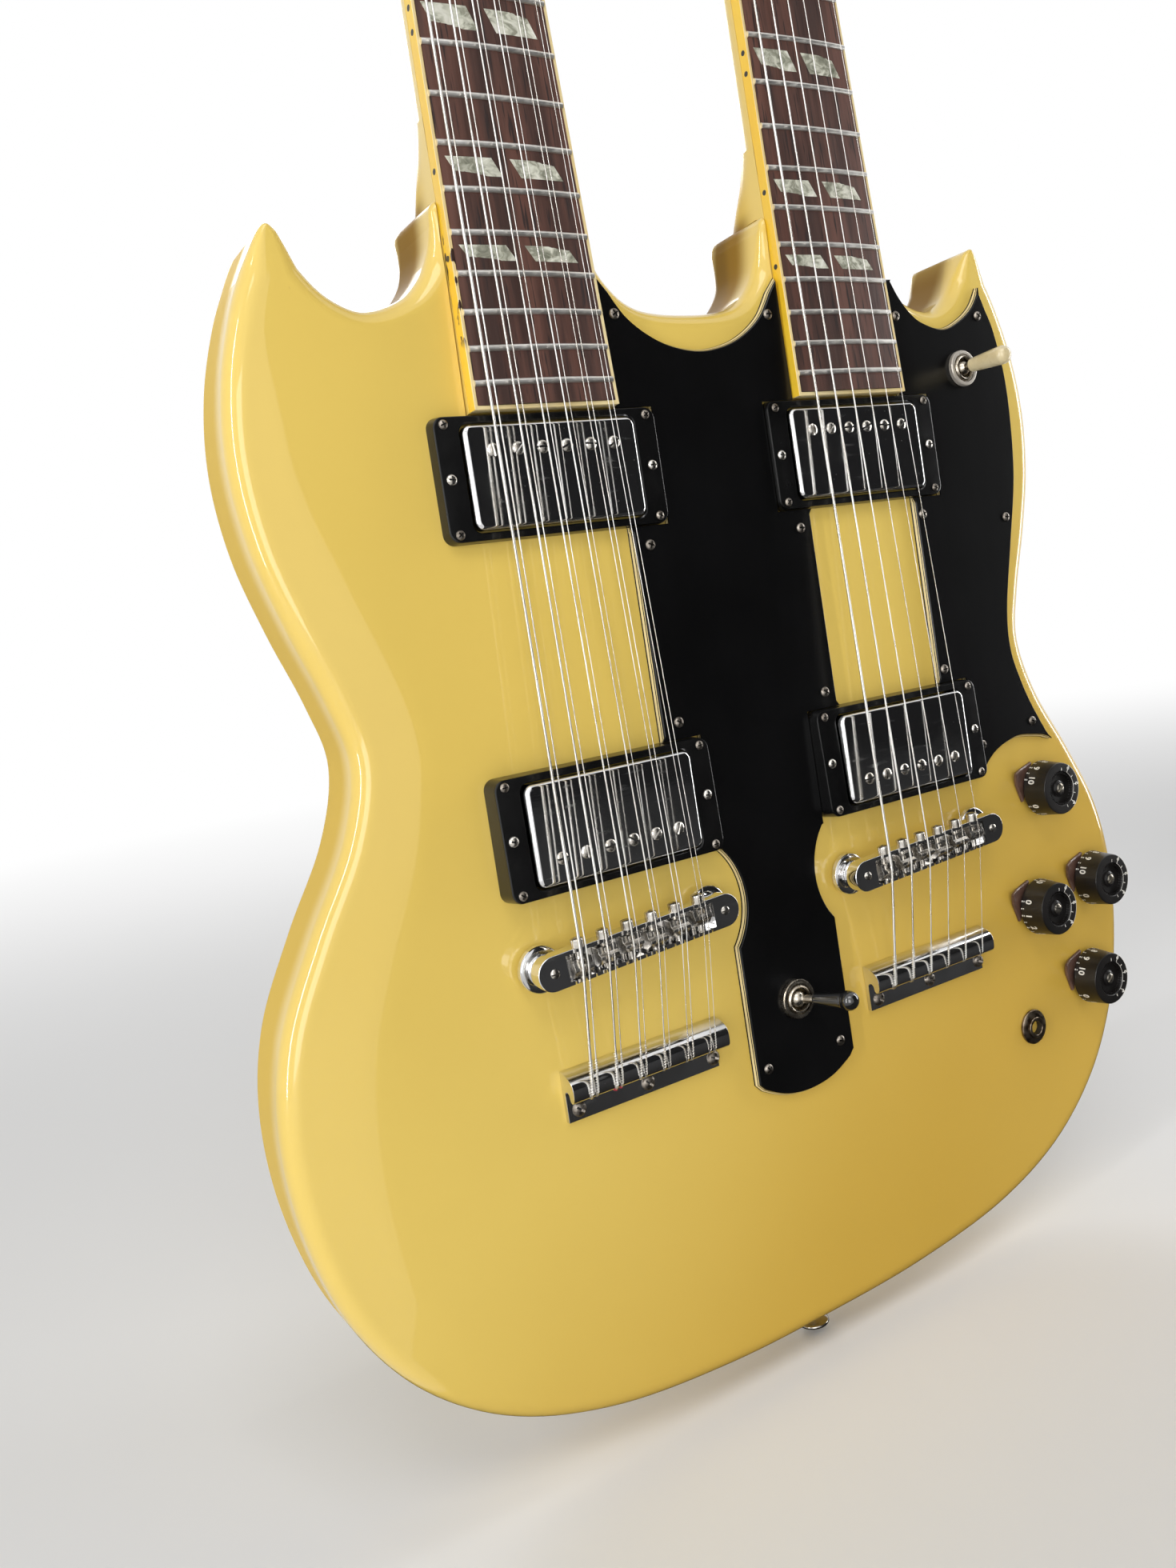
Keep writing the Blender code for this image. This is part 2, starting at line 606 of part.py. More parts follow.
def guard_treble_outline():
    """The guard beside the six-string neck, from its cutaway round to the bridge pickup."""
    ring_side = NECK_SPACING / 2.0 + RING_WIDTH / 2.0 + GAP
    strip = NECK_SPACING / 2.0 + STRIP_HALF + TREBLE_STRIP_EXTRA
    reach = RING_LENGTH / 2.0 + GAP
    board = NECK_SPACING / 2.0 + board_half(-BOARD_TAIL) + 2.0 * GAP
    cutaway = metres(TREBLE_GUARD_CUT)
    side = metres(TREBLE_GUARD_SIDE)
    low = metres(TREBLE_GUARD_LOW)
    corner = cutaway[0][1] + TREBLE_GUARD_RISE
    board_up = NECK_SPACING / 2.0 + board_half(corner - LAST_FRET_Z) + 2.0 * GAP
    points = [(board_up, corner)] + smooth(cutaway, 2) + [cutaway[-1]]
    points += smooth(side, 2) + [side[-1]] + smooth(low, 2) + [low[-1]]
    points += [(ring_side, BRIDGE_PICKUP_Z - reach), (ring_side, BRIDGE_PICKUP_Z + reach),
               (strip, BRIDGE_PICKUP_Z + reach), (strip, NECK_PICKUP_Z - reach),
               (ring_side, NECK_PICKUP_Z - reach), (ring_side, NECK_PICKUP_Z + reach),
               (board, NECK_PICKUP_Z + reach)]
    return points


def make_guards():
    """Two flat plastic plates screwed to the face, each with a hole for its toggle."""
    outlines = {"pickguard_centre": guard_centre_whole(),
                "pickguard_treble": guard_treble_outline()}
    for name, key in (("pickguard_centre", "tail"), ("pickguard_treble", "horn")):
        guard = plate(name, outlines[name], FACE_Y - GAP, FACE_Y - GUARD_TOP)
        x, z = metres([TOGGLE_PLACES[key]])[0]
        hole = rod("guard_hole_" + key, (x, FACE_Y + 1.0 * MM, z),
                   (x, FACE_Y - GUARD_TOP - 1.0 * MM, z), TOGGLE_BUSH_RADIUS + GAP, 20)
        as_part(cut(guard, hole), "black_gloss")


def neck_section(rise, depth, fullness, half):
    """A flat-topped section whose back is a rounded curve, fuller near the heel."""
    points = []
    for k in range(13):
        angle = math.pi * k / 12.0
        x = -math.cos(angle)
        y = math.sin(angle)
        points.append((half * math.copysign(abs(x) ** (2.0 / fullness), x),
                       depth * abs(y) ** (2.0 / fullness), rise))
    return points


def head_outline(key):
    """A plain flared headstock with a low arched top, in the head's own frame."""
    length = FIRST_POST + (POSTS[key] - 1) * PITCH[key] + HEAD_TOP_MARGIN
    half = HEAD_WIDTH / 2.0
    right = [(NUT_WIDTH / 2.0 - 0.2 * MM, -1.0 * MM), (NUT_WIDTH / 2.0 + 1.0 * MM, 8.0 * MM),
             (half * 0.72, 20.0 * MM), (half * 0.86, 30.0 * MM), (half * 0.92, 42.0 * MM),
             (half, length - 12.0 * MM)]
    corner = [(half - 1.5 * MM, length - 4.0 * MM), (half - 7.0 * MM, length),
              (half * 0.5, length + 3.0 * MM), (0.0, length + 4.5 * MM)]
    points = right + corner
    return points + mirrored(points[:-1])


def post_places(key):
    """Each tuning post's side and height in the head's frame, low side first."""
    return [(side, FIRST_POST + i * PITCH[key]) for side in (-1.0, 1.0) for i in range(POSTS[key])]


def make_neck(key, frames):
    """Neck, heel, tenon and headstock of one piece of wood, drilled for the posts."""
    frame = frames[key]
    nut_end = NUT_RISE + NUT_THICK
    stations = [(HEEL_RISE, HEEL_DEPTH, 4.5), (HEEL_RISE + 8.0 * MM, HEEL_DEPTH * 0.87, 4.0),
                (HEEL_RISE + 17.0 * MM, HEEL_DEPTH * 0.73, 3.2),
                (HEEL_RISE + 28.0 * MM, SHAFT_DEPTH_HEEL * 1.08, 2.6),
                (HEEL_RISE + 44.0 * MM, SHAFT_DEPTH_HEEL, 2.2),
                (nut_end - 25.0 * MM, SHAFT_DEPTH_NUT, 2.1),
                (nut_end - 6.0 * MM, SHAFT_DEPTH_NUT * 1.03, 2.2)]
    rings = [neck_section(rise, depth, fullness, board_half(rise))
             for rise, depth, fullness in stations]
    end = neck_section(nut_end + 3.0 * MM, SHAFT_DEPTH_NUT * 1.05, 2.4, board_half(nut_end))
    rings.append([(x, y + HEAD_DROP * 2.0 if y < 1.0 * MM else y, z) for x, y, z in end])
    neck = loft("neck_" + key, rings, frame["neck"])
    head = plate("head_" + key, head_outline(key), 0.0, HEAD_THICK, frame["head"])
    join(neck, *neck_foot("foot_" + key, frame["neck"], 0.0, 0.0), head)
    for i, (side, height) in enumerate(post_places(key)):
        x = side * POST_OFFSET
        cut(neck, rod("post_hole_%s_%d" % (key, i), (x, -1.0 * MM, height),
                      (x, HEAD_THICK + 1.0 * MM, height), POST_RADIUS + GAP, 12, frame["head"]))
    return as_part(neck, "cream_lacquer")


def make_board(key, frames):
    """The fretboard with its arched top, the binding round it, and the nut at its end."""
    frame = frames[key]["neck"]
    low = -BOARD_TAIL + BINDING_WIDTH + GAP
    rings = []
    for rise in (low, NUT_RISE - GAP):
        half = board_half(rise) - BINDING_WIDTH - GAP
        top = [half * (1.0 - k / 4.0) for k in range(9)]
        rings.append([(-half, -GAP, rise), (half, -GAP, rise)]
                     + [(x, board_top(x), rise) for x in top])
    as_part(loft("fretboard_" + key, rings, frame), "rosewood")
    outer = [(-board_half(NUT_RISE), NUT_RISE - GAP), (-board_half(-BOARD_TAIL), -BOARD_TAIL)]
    inner = [(-board_half(NUT_RISE) + BINDING_WIDTH, NUT_RISE - GAP),
             (-board_half(-BOARD_TAIL) + BINDING_WIDTH, -BOARD_TAIL + BINDING_WIDTH)]
    outline = (outer + [(-x, z) for x, z in reversed(outer)]
               + [(-x, z) for x, z in inner] + inner[::-1])
    binding = plate("binding_" + key, outline, -GAP, -BOARD_EDGE_THICK, frame)
    as_part(binding, "ivory_plastic")
    half = NUT_WIDTH / 2.0 - GAP
    rings = []
    for rise in (NUT_RISE, NUT_RISE + NUT_THICK):
        top = [half * (1.0 - k / 3.0) for k in range(7)]
        rings.append([(-half, -GAP, rise), (half, -GAP, rise)]
                     + [(x, board_top(x) - 0.4 * MM, rise) for x in top])
    as_part(loft("nut_" + key, rings, frame), "ivory_plastic")


def make_pickup(key, label, height, ring_height, ring_rise, cover_height):
    """A plastic ring screwed to the body, and the metal cover that stands in its window."""
    centre = SIDE[key] * NECK_SPACING / 2.0
    outline = rounded_rect(RING_WIDTH, RING_LENGTH, RING_CORNER, (centre, height))
    lower = [(x, FACE_Y - GAP, z) for x, z in outline]
    upper = [(centre + (x - centre) * 0.985,
              FACE_Y - ring_height - ring_rise * (height - z) / RING_LENGTH,
              height + (z - height) * 0.98) for x, z in outline]
    name = label + "_" + key
    ring = loft("pickup_ring_" + name, [lower, upper])
    window = rounded_rect(COVER_WIDTH + 2.0 * WINDOW_CLEARANCE, COVER_LENGTH + 2.0 * WINDOW_CLEARANCE,
                          COVER_CORNER, (centre, height), 2)
    cut(ring, plate("window_" + name, window, FACE_Y + 1.0 * MM, FACE_Y - 20.0 * MM))
    as_part(ring, "black_plastic")
    outline = rounded_rect(COVER_WIDTH, COVER_LENGTH, COVER_CORNER, (centre, height), 3)
    rings = []
    for depth, margin in ((COVER_SINK, 0.0), (1.6 * MM - cover_height, 0.0),
                          (0.5 * MM - cover_height, 0.45 * MM), (-cover_height, 1.5 * MM)):
        edge = inset(outline, margin) if margin > 0.0 else outline
        rings.append([(x, FACE_Y + depth, z) for x, z in edge])
    as_part(loft("pickup_cover_" + name, rings), "chrome")


def string_places(key):
    """Each string's x at the nut and at the saddle, measured from its neck's centreline."""
    places = []
    for course in range(6):
        share = course / 5.0 - 0.5
        nut = share * STRING_SPREAD_NUT
        saddle = share * STRING_SPREAD_SADDLE
        if key == "six":
            places.append((nut, saddle))
            continue
        for half in (-0.5, 0.5):
            places.append((nut + half * PAIR_SPLIT_NUT, saddle + half * PAIR_SPLIT_SADDLE))
    return places


def saddle_height(x):
    return STRING_HEIGHT_SADDLE - x * x / (2.0 * BOARD_RADIUS)


def make_bridge(key, frames):
    """A slanted bar on two height studs, with a saddle under each course."""
    frame = frames[key]["bridge"]
    half = BAR_LENGTH / 2.0
    outline = rounded_rect(BAR_LENGTH, BAR_WIDTH, BAR_WIDTH / 2.0 - 0.01 * MM)
    bridge = plate("bridge_" + key, outline, -(BAR_TOP - BAR_THICK), -BAR_TOP, frame)
    for label, x in (("low", -POST_SPACING / 2.0), ("high", POST_SPACING / 2.0)):
        stud = rod("stud_" + label + "_" + key, (x, STUD_SINK, 0.0), (x, -BAR_TOP + 1.0 * MM, 0.0),
                   STUD_RADIUS, 12, frame)
        wheel_top = -WHEEL_LIFT - WHEEL_THICK
        wheel = rod("wheel_" + label + "_" + key, (x, -WHEEL_LIFT, 0.0), (x, wheel_top, 0.0),
                    WHEEL_RADIUS, 20, frame)
        join(bridge, stud, wheel)
    thickest = max(GAUGES[key]) * MM / 2.0
    for course in range(6):
        x = (course / 5.0 - 0.5) * STRING_SPREAD_SADDLE
        low = saddle_height(abs(x) + SADDLE_WIDTH / 2.0) - thickest - GAP
        join(bridge, box("saddle_%s_%d" % (key, course),
                         (x - SADDLE_WIDTH / 2.0, -low, -SADDLE_LENGTH / 2.0),
                         (x + SADDLE_WIDTH / 2.0, -BAR_TOP + 1.0 * MM, SADDLE_LENGTH / 2.0), frame))
    return as_part(bridge, "chrome")


def make_tailpiece(key):
    """Folded plate: a screwed foot, and a rounded head whose nose overhangs the string ends."""
    centre = SIDE[key] * NECK_SPACING / 2.0
    rings = [[(centre + side * TAIL_WIDTH / 2.0, FACE_Y - h * MM, TAIL_Z[key] + z * MM)
              for z, h in TAIL_SECTION] for side in (-1.0, 1.0)]
    return as_part(loft("tailpiece_" + key, rings), "chrome")


def string_path(key, frames, index, at_nut, at_saddle, gauge):
    """The points that a string passes, from its ball end over saddle and nut to its post."""
    neck = frames[key]["neck"].matrix_world
    head = frames[key]["head"].matrix_world
    bridge = frames[key]["bridge"].matrix_world
    centre = SIDE[key] * NECK_SPACING / 2.0
    x = centre + at_saddle
    saddle = bridge @ Vector((at_saddle, -saddle_height(at_saddle), 0.0))
    nut = neck @ Vector((at_nut, board_top(at_nut) - STRING_HEIGHT_NUT, NUT_RISE + NUT_THICK))
    count = POSTS[key]
    order = index if index < count else 2 * count - 1 - index
    side = -1.0 if index < count else 1.0
    reach = POST_OFFSET - POST_RADIUS - gauge / 2.0 - GAP
    post = head @ Vector((side * reach, -POST_HEIGHT / 2.0, FIRST_POST + order * PITCH[key]))
    tail = TAIL_Z[key]
    return [Vector((x, FACE_Y - BALL_HEIGHT, tail + BALL_RISE)),
            Vector((x, FACE_Y - BALL_HEIGHT, tail + WRAP_RISE)),
            Vector((x, FACE_Y - WRAP_HEIGHT, tail + WRAP_RISE)), saddle, nut, post]


def make_strings(key, frames):
    """All the strings of one neck, held together by the row of ball ends in the tailpiece."""
    curve = bpy.data.curves.new("strings_" + key, "CURVE")
    curve.dimensions = "3D"
    curve.bevel_depth = 1.0
    curve.bevel_resolution = 1
    curve.use_fill_caps = True
    gauges = GAUGES[key]
    for index, (at_nut, at_saddle) in enumerate(string_places(key)):
        gauge = gauges[index] * MM
        path = string_path(key, frames, index, at_nut, at_saddle, gauge)
        spline = curve.splines.new("POLY")
        spline.points.add(len(path) - 1)
        for point, place in zip(spline.points, path):
            point.co = (*place, 1.0)
            point.radius = gauge / 2.0
    drawn = new_object("strings_" + key + "_path", curve)
    strings = mesh_from_curve("strings_" + key, drawn, Matrix.Identity(4), None)
    centre = SIDE[key] * NECK_SPACING / 2.0
    half = STRING_SPREAD_SADDLE / 2.0 + 3.0 * MM
    low = (centre - half, FACE_Y - BALL_HEIGHT, TAIL_Z[key] + BALL_RISE)
    high = (centre + half, FACE_Y - BALL_HEIGHT, TAIL_Z[key] + BALL_RISE)
    balls = rod("balls_" + key, low, high, BALL_ROD_RADIUS, 8)
    return as_part(join(strings, balls), "steel")


def make_tuners(key, frames):
    """On each side of the headstock a plate with gear housings and posts, and its buttons."""
    frame = frames[key]["head"]
    count = POSTS[key]
    pitch = PITCH[key]
    edge = HEAD_WIDTH / 2.0
    back = HEAD_THICK + GAP
    worm_y = back + PLATE_THICK + HOUSING_DEPTH / 2.0
    for side, label in ((-1.0, "low"), (1.0, "high")):
        x = side * POST_OFFSET
        low = FIRST_POST - HOUSING_LENGTH / 2.0 - 3.0 * MM
        high = FIRST_POST + (count - 1) * pitch + HOUSING_LENGTH / 2.0 + 3.0 * MM
        base = box("tuner_plate_%s_%s" % (label, key), (x - PLATE_WIDTH / 2.0, back, low),
                   (x + PLATE_WIDTH / 2.0, back + PLATE_THICK, high), frame)
        for i in range(count):
            z = FIRST_POST + i * pitch
            tag = "%s_%s_%d" % (label, key, i + 1)
            housing = box("housing_" + tag,
                          (x - HOUSING_WIDTH / 2.0, back + PLATE_THICK / 2.0, z - HOUSING_LENGTH / 2.0),
                          (x + HOUSING_WIDTH / 2.0, back + PLATE_THICK + HOUSING_DEPTH,
                           z + HOUSING_LENGTH / 2.0), frame)
            post = rod("post_" + tag, (x, back + PLATE_THICK / 2.0, z), (x, -POST_HEIGHT, z),
                       POST_RADIUS, 10, frame)
            mouth = x + side * (HOUSING_WIDTH / 2.0 + 1.0 * MM)
            bore = rod("worm_bore_" + tag, (x, worm_y, z), (mouth, worm_y, z),
                       WORM_RADIUS + GAP, 10, frame)
            join(base, housing, post)
            cut(base, bore)
            make_button("tuner_button_" + tag, side, (x, worm_y, z), edge, frame)
        as_part(base, "nickel")


def make_button(name, side, centre, edge, frame):
    """A flat oval button on its worm shaft, turned by the shaft's own line."""
    x, y, z = centre
    start = edge + BUTTON_REACH
    pivot = bpy.data.objects.new("axis_" + name, None)
    pivot.parent = frame
    pivot.location = (side * start, y, z)
    GUITAR.objects.link(pivot)
    rings = []
    for along, width, thick in ((0.0, 0.42, 0.6), (0.18, 0.8, 0.85), (0.55, 1.0, 1.0),
                                (0.88, 0.8, 0.8), (1.0, 0.5, 0.45)):
        ring = []
        for k in range(10):
            angle = 2.0 * math.pi * k / 10.0
            ring.append((side * along * BUTTON_LENGTH,
                         BUTTON_THICK / 2.0 * thick * math.sin(angle),
                         BUTTON_WIDTH / 2.0 * width * math.cos(angle)))
        rings.append(ring)
    button = loft(name, rings, pivot)
    inner = abs(x) + GAP - start
    shaft = rod("shaft_" + name, (side * inner, 0.0, 0.0), (side * 2.0 * MM, 0.0, 0.0),
                WORM_RADIUS, 8, pivot)
    as_part(join(button, shaft), "nickel")


def make_knobs():
    """Turned plastic knobs, bored for the shafts that carry them."""
    bore = SHAFT_RADIUS + GAP
    high = KNOB_HEIGHT
    profile = [(0.0, high - 1.3 * MM), (5.8 * MM, high - 1.3 * MM), (6.6 * MM, high),
               (KNOB_TOP_RADIUS - 0.8 * MM, high), (KNOB_TOP_RADIUS, high - 0.8 * MM),
               (KNOB_RADIUS, 0.9 * MM), (KNOB_RADIUS, 0.0), (bore, 0.0),
               (bore, high - KNOB_CROWN), (0.0, high - KNOB_CROWN)]
    for name, place in KNOB_PLACES.items():
        x, z = metres([place])[0]
        knob = turned(name, profile, (x, FACE_Y - KNOB_LIFT, z), 24)
        as_part(knob, "brown_plastic")


def make_pots():
    """Four controls on one screening plate under the top, their shafts up into the knobs."""
    deep = FACE_Y + CONTROL_TOP_WALL
    edge = inset(ring_curve(metres(CONTROL_EDGE), 2), 0.8 * MM)
    pots = plate("control_pots", edge, deep + GAP, deep + GAP + 1.0 * MM)
    x, z = metres([JACK_PLACE])[0]
    room = rod("plate_room_jack", (x, deep - 1.0 * MM, z), (x, deep + 3.0 * MM, z),
               JACK_SLEEVE_RADIUS + GAP, 16)
    cut(pots, room)
    for name, place in KNOB_PLACES.items():
        x, z = metres([place])[0]
        can = rod("can_" + name, (x, deep + GAP + 0.5 * MM, z), (x, deep + GAP + POT_DEPTH, z),
                  POT_RADIUS, 16)
        bush = rod("bush_" + name, (x, deep + GAP + 0.6 * MM, z), (x, FACE_Y - 1.2 * MM, z),
                   POT_BUSH_RADIUS, 12)
        shaft = rod("shaft_" + name, (x, deep + GAP, z),
                    (x, FACE_Y - KNOB_LIFT - KNOB_HEIGHT + KNOB_CROWN + GAP, z), SHAFT_RADIUS, 10)
        join(pots, can, bush, shaft)
    return as_part(pots, "steel")


def make_jack():
    """The output socket: a nut on the face and a threaded sleeve down through the top."""
    bore = JACK_BORE_RADIUS
    top = GAP + 2.6 * MM
    profile = [(bore, top), (bore + 1.6 * MM, top), (bore + 1.9 * MM, GAP + 1.8 * MM),
               (JACK_NUT_RADIUS - 0.5 * MM, GAP + 1.2 * MM), (JACK_NUT_RADIUS, GAP),
               (JACK_SLEEVE_RADIUS, GAP), (JACK_SLEEVE_RADIUS, GAP - JACK_LENGTH),
               (bore, GAP - JACK_LENGTH)]
    x, z = metres([JACK_PLACE])[0]
    as_part(turned("output_jack", profile, (x, FACE_Y, z), 24), "nickel")


def make_toggles():
    """Three-way switches: a box under the guard, a bush and nut over it, and a lever."""
    top = GUARD_TOP + GAP
    for key, place in TOGGLE_PLACES.items():
        x, z = metres([place])[0]
        half = TOGGLE_BOX / 2.0
        switch = box("toggle_switch_" + key, (x - half, FACE_Y, z - half),
                     (x + half, FACE_Y + TOGGLE_BOX, z + half))
        bush = rod("bush_toggle_" + key, (x, FACE_Y + 1.0 * MM, z), (x, FACE_Y - top - 1.0 * MM, z),
                   TOGGLE_BUSH_RADIUS, 20)
        nut = rod("nut_toggle_" + key, (x, FACE_Y - top, z), (x, FACE_Y - top - TOGGLE_NUT_THICK, z),
                  TOGGLE_NUT_RADIUS, 20)
        bore = rod("bore_toggle_" + key, (x, FACE_Y + 12.0 * MM, z), (x, FACE_Y - 20.0 * MM, z),
                   TOGGLE_BORE_RADIUS, 20)
        as_part(cut(join(switch, bush, nut), bore), "nickel")
        ball = TOGGLE_BORE_RADIUS - 1.2 * GAP
        reach = TOGGLE_REACH
        profile = [(0.0, reach), (2.6 * MM, reach - 0.7 * MM), (3.9 * MM, reach - 2.6 * MM),
                   (4.0 * MM, reach - 4.5 * MM), (2.5 * MM, reach * 0.32), (1.7 * MM, reach * 0.3),
                   (1.7 * MM, ball * 0.93)]
        profile += [(ball * math.cos(angle), ball * math.sin(angle))
                    for angle in (math.radians(degrees) for degrees in (50, 20, -10, -40))]
        profile += [(1.4 * MM, -ball * 0.93), (1.4 * MM, -TOGGLE_PIN), (0.0, -TOGGLE_PIN)]
        lever = turned("toggle_lever_" + key, profile, (x, FACE_Y - GUARD_TOP, z), 12)
        lever.rotation_mode = "XYZ"
        lever.rotation_euler = (math.radians(90.0), 0.0, TOGGLE_THROW if key == "tail" else 0.0)
        as_part(lever, "black_plastic" if key == "tail" else "ivory_plastic")


def make_strap_buttons():
    """Two flanged metal buttons: one under the body, one on its back between the necks."""
    length = BUTTON_PIN_LENGTH
    wide = BUTTON_PIN_RADIUS
    profile = [(0.0, length), (wide - 1.2 * MM, length), (wide, length - 0.9 * MM),
               (wide, length - 1.7 * MM), (wide * 0.55, length - 3.2 * MM),
               (wide * 0.5, length * 0.4), (wide * 0.9, 1.2 * MM), (wide * 0.95, GAP), (0.0, GAP)]
    bottom = BODY_EDGE[0][1] * MM
    turned_down = (math.radians(180.0), 0.0, 0.0)
    as_part(turned("strap_button_tail", profile, (0.0, FACE_Y / 2.0, bottom), 16,
                   turn=turned_down), "nickel")
    as_part(turned("strap_button_back", profile, (0.0, 0.0, LAST_FRET_Z - 12.0 * MM), 16,
                   turn=(math.radians(-90.0), 0.0, 0.0)), "nickel")


def make_control_cover():
    """The black plate let into the back over the control cavity."""
    edge = inset(ring_curve(metres(CONTROL_EDGE), 2), -COVER_LEDGE)
    return as_part(plate("control_cover", edge, -COVER_THICK, 0.0), "black_plastic")


start_clean()
GUITAR = make_collection("double_neck_guitar")
CUTTERS = make_collection("cutters")
FRAMES = make_frames()
make_body(FRAMES)
make_guards()
for NECK in ("twelve", "six"):
    make_neck(NECK, FRAMES)
    make_board(NECK, FRAMES)
    make_pickup(NECK, "neck", NECK_PICKUP_Z, NECK_RING_HEIGHT, 0.0, NECK_COVER_HEIGHT)
    make_pickup(NECK, "bridge", BRIDGE_PICKUP_Z, BRIDGE_RING_HEIGHT, BRIDGE_RING_RISE,
                BRIDGE_COVER_HEIGHT)
    make_bridge(NECK, FRAMES)
    make_tailpiece(NECK)
    make_strings(NECK, FRAMES)
    make_tuners(NECK, FRAMES)
make_knobs()
make_pots()
make_jack()
make_toggles()
make_strap_buttons()
make_control_cover()
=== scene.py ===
import math

import bmesh
import bpy
import numpy as np
from mathutils import Matrix, Vector


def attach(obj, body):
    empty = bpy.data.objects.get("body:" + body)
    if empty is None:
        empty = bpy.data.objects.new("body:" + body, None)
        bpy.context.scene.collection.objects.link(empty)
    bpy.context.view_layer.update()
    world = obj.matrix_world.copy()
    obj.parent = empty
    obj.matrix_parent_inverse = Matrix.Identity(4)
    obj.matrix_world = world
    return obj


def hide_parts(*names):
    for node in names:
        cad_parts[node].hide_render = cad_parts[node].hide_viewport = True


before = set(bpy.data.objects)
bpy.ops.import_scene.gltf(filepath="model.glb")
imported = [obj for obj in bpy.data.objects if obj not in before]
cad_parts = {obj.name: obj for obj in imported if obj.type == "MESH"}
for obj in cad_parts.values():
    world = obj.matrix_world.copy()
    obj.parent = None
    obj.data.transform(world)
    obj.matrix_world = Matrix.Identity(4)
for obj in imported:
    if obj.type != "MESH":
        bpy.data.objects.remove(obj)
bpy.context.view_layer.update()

# THE PICTURE
# The guitar is seen from the lower left of its front, with the camera a little tilted. It stands in
# a pale studio on a floor that fades out, with soft lamps above it, at its left, in front of it,
# behind it and at its right.
scene = bpy.context.scene
scene.view_settings.view_transform = "Standard"
look = Vector((0.5059, 0.8610, -0.0528)).normalized()
right = look.cross(Vector((0.1583, -0.0326, 0.9869))).normalized()
lens = bpy.data.cameras.new("camera")
lens.lens = 28.367
lens.sensor_width = 36.0
lens.sensor_fit = "AUTO"
lens.shift_x = -0.0008
lens.shift_y = -0.0538
camera = bpy.data.objects.new("camera", lens)
turn = Matrix((right, right.cross(look), -look)).transposed().to_4x4()
camera.matrix_world = Matrix.Translation((-0.2951, -0.4171, 0.0708)) @ turn
scene.collection.objects.link(camera)
scene.camera = camera


def rgb(red, green, blue):
    return (red, green, blue, 1.0)


class Wire:
    """One output socket of a node tree; arithmetic on it adds the Math nodes it stands for."""

    def __init__(self, tree, socket=None):
        self.tree = tree
        self.socket = socket

    def node(self, kind, settings=(), inlets=(), outlet=0):
        """Add any node: its settings first, then the values or links of its sockets."""
        made = self.tree.nodes.new(kind)
        for name, value in dict(settings).items():
            if name == "stops":
                ramp = made.color_ramp
                while len(ramp.elements) < len(value):
                    ramp.elements.new(0.5)
                for element, (place, colour) in zip(ramp.elements, value):
                    element.position = place
                    element.color = colour
            else:
                setattr(made, name, value)
        for name, value in dict(inlets).items():
            if isinstance(value, Wire):
                self.tree.links.new(value.socket, made.inputs[name])
            else:
                made.inputs[name].default_value = value
        return Wire(self.tree, made.outputs[outlet] if len(made.outputs) else None)

    def outlet(self, name):
        """Another output of the same node."""
        return Wire(self.tree, self.socket.node.outputs[name])

    def sum(self, operation, *values):
        return self.node("ShaderNodeMath", {"operation": operation}, enumerate(values))

    def __add__(self, other):
        return self.sum("ADD", self, other)

    def __radd__(self, other):
        return self.sum("ADD", other, self)

    def __sub__(self, other):
        return self.sum("SUBTRACT", self, other)

    def __rsub__(self, other):
        return self.sum("SUBTRACT", other, self)

    def __mul__(self, other):
        return self.sum("MULTIPLY", self, other)

    def __rmul__(self, other):
        return self.sum("MULTIPLY", other, self)

    def above(self, edge, soft):
        """0 below an edge and 1 above it, with a soft step between."""
        return self.node("ShaderNodeMapRange", {"interpolation_type": "SMOOTHSTEP"},
                         {"Value": self, "From Min": edge - soft, "From Max": edge + soft})

    def blend(self, low, high):
        """A colour between two others, where this wire is the share of the second."""
        return self.node("ShaderNodeMix", {"data_type": "RGBA"}, {0: self, 6: low, 7: high}, 2)

    def axis(self, name):
        return self.node("ShaderNodeSeparateXYZ", (), {0: self}, name)

    def noise(self, scale, detail=3.0, stretch=(1.0, 1.0, 1.0), rough=0.5):
        """Smooth noise over this vector, which is stretched before it is sampled."""
        mapped = self.node("ShaderNodeMapping", (), {"Vector": self, "Scale": stretch})
        return self.node("ShaderNodeTexNoise", (), {"Vector": mapped, "Scale": scale,
                                                    "Detail": detail, "Roughness": rough})


def seen_or_mirrored(start):
    """1 for a ray from the camera, a mirror or glass, and 0 for one that carries soft light."""
    path = start.node("ShaderNodeLightPath")
    return path + path.outlet("Is Glossy Ray") + path.outlet("Is Transmission Ray")


WHITE = rgb(1.0, 1.0, 1.0)
air = bpy.data.worlds.new("studio_air")
air.use_nodes = True
air.node_tree.nodes.clear()
scene.world = air
start = Wire(air.node_tree)
lit = start.node("ShaderNodeBackground", (), {"Color": WHITE, "Strength": 0.24})
shown = start.node("ShaderNodeBackground", (), {"Color": WHITE, "Strength": 1.0})
sky = start.node("ShaderNodeMixShader", (), {0: seen_or_mirrored(start), 1: lit, 2: shown})
start.node("ShaderNodeOutputWorld", (), {"Surface": sky})


def lamp(name, place, target, width, height, power):
    light = bpy.data.lights.new(name, "AREA")
    light.shape = "RECTANGLE"
    light.size = width
    light.size_y = height
    light.energy = power
    obj = bpy.data.objects.new(name, light)
    aim = Vector(target) - Vector(place)
    obj.matrix_world = Matrix.Translation(place) @ aim.to_track_quat("-Z", "Y").to_matrix().to_4x4()
    scene.collection.objects.link(obj)


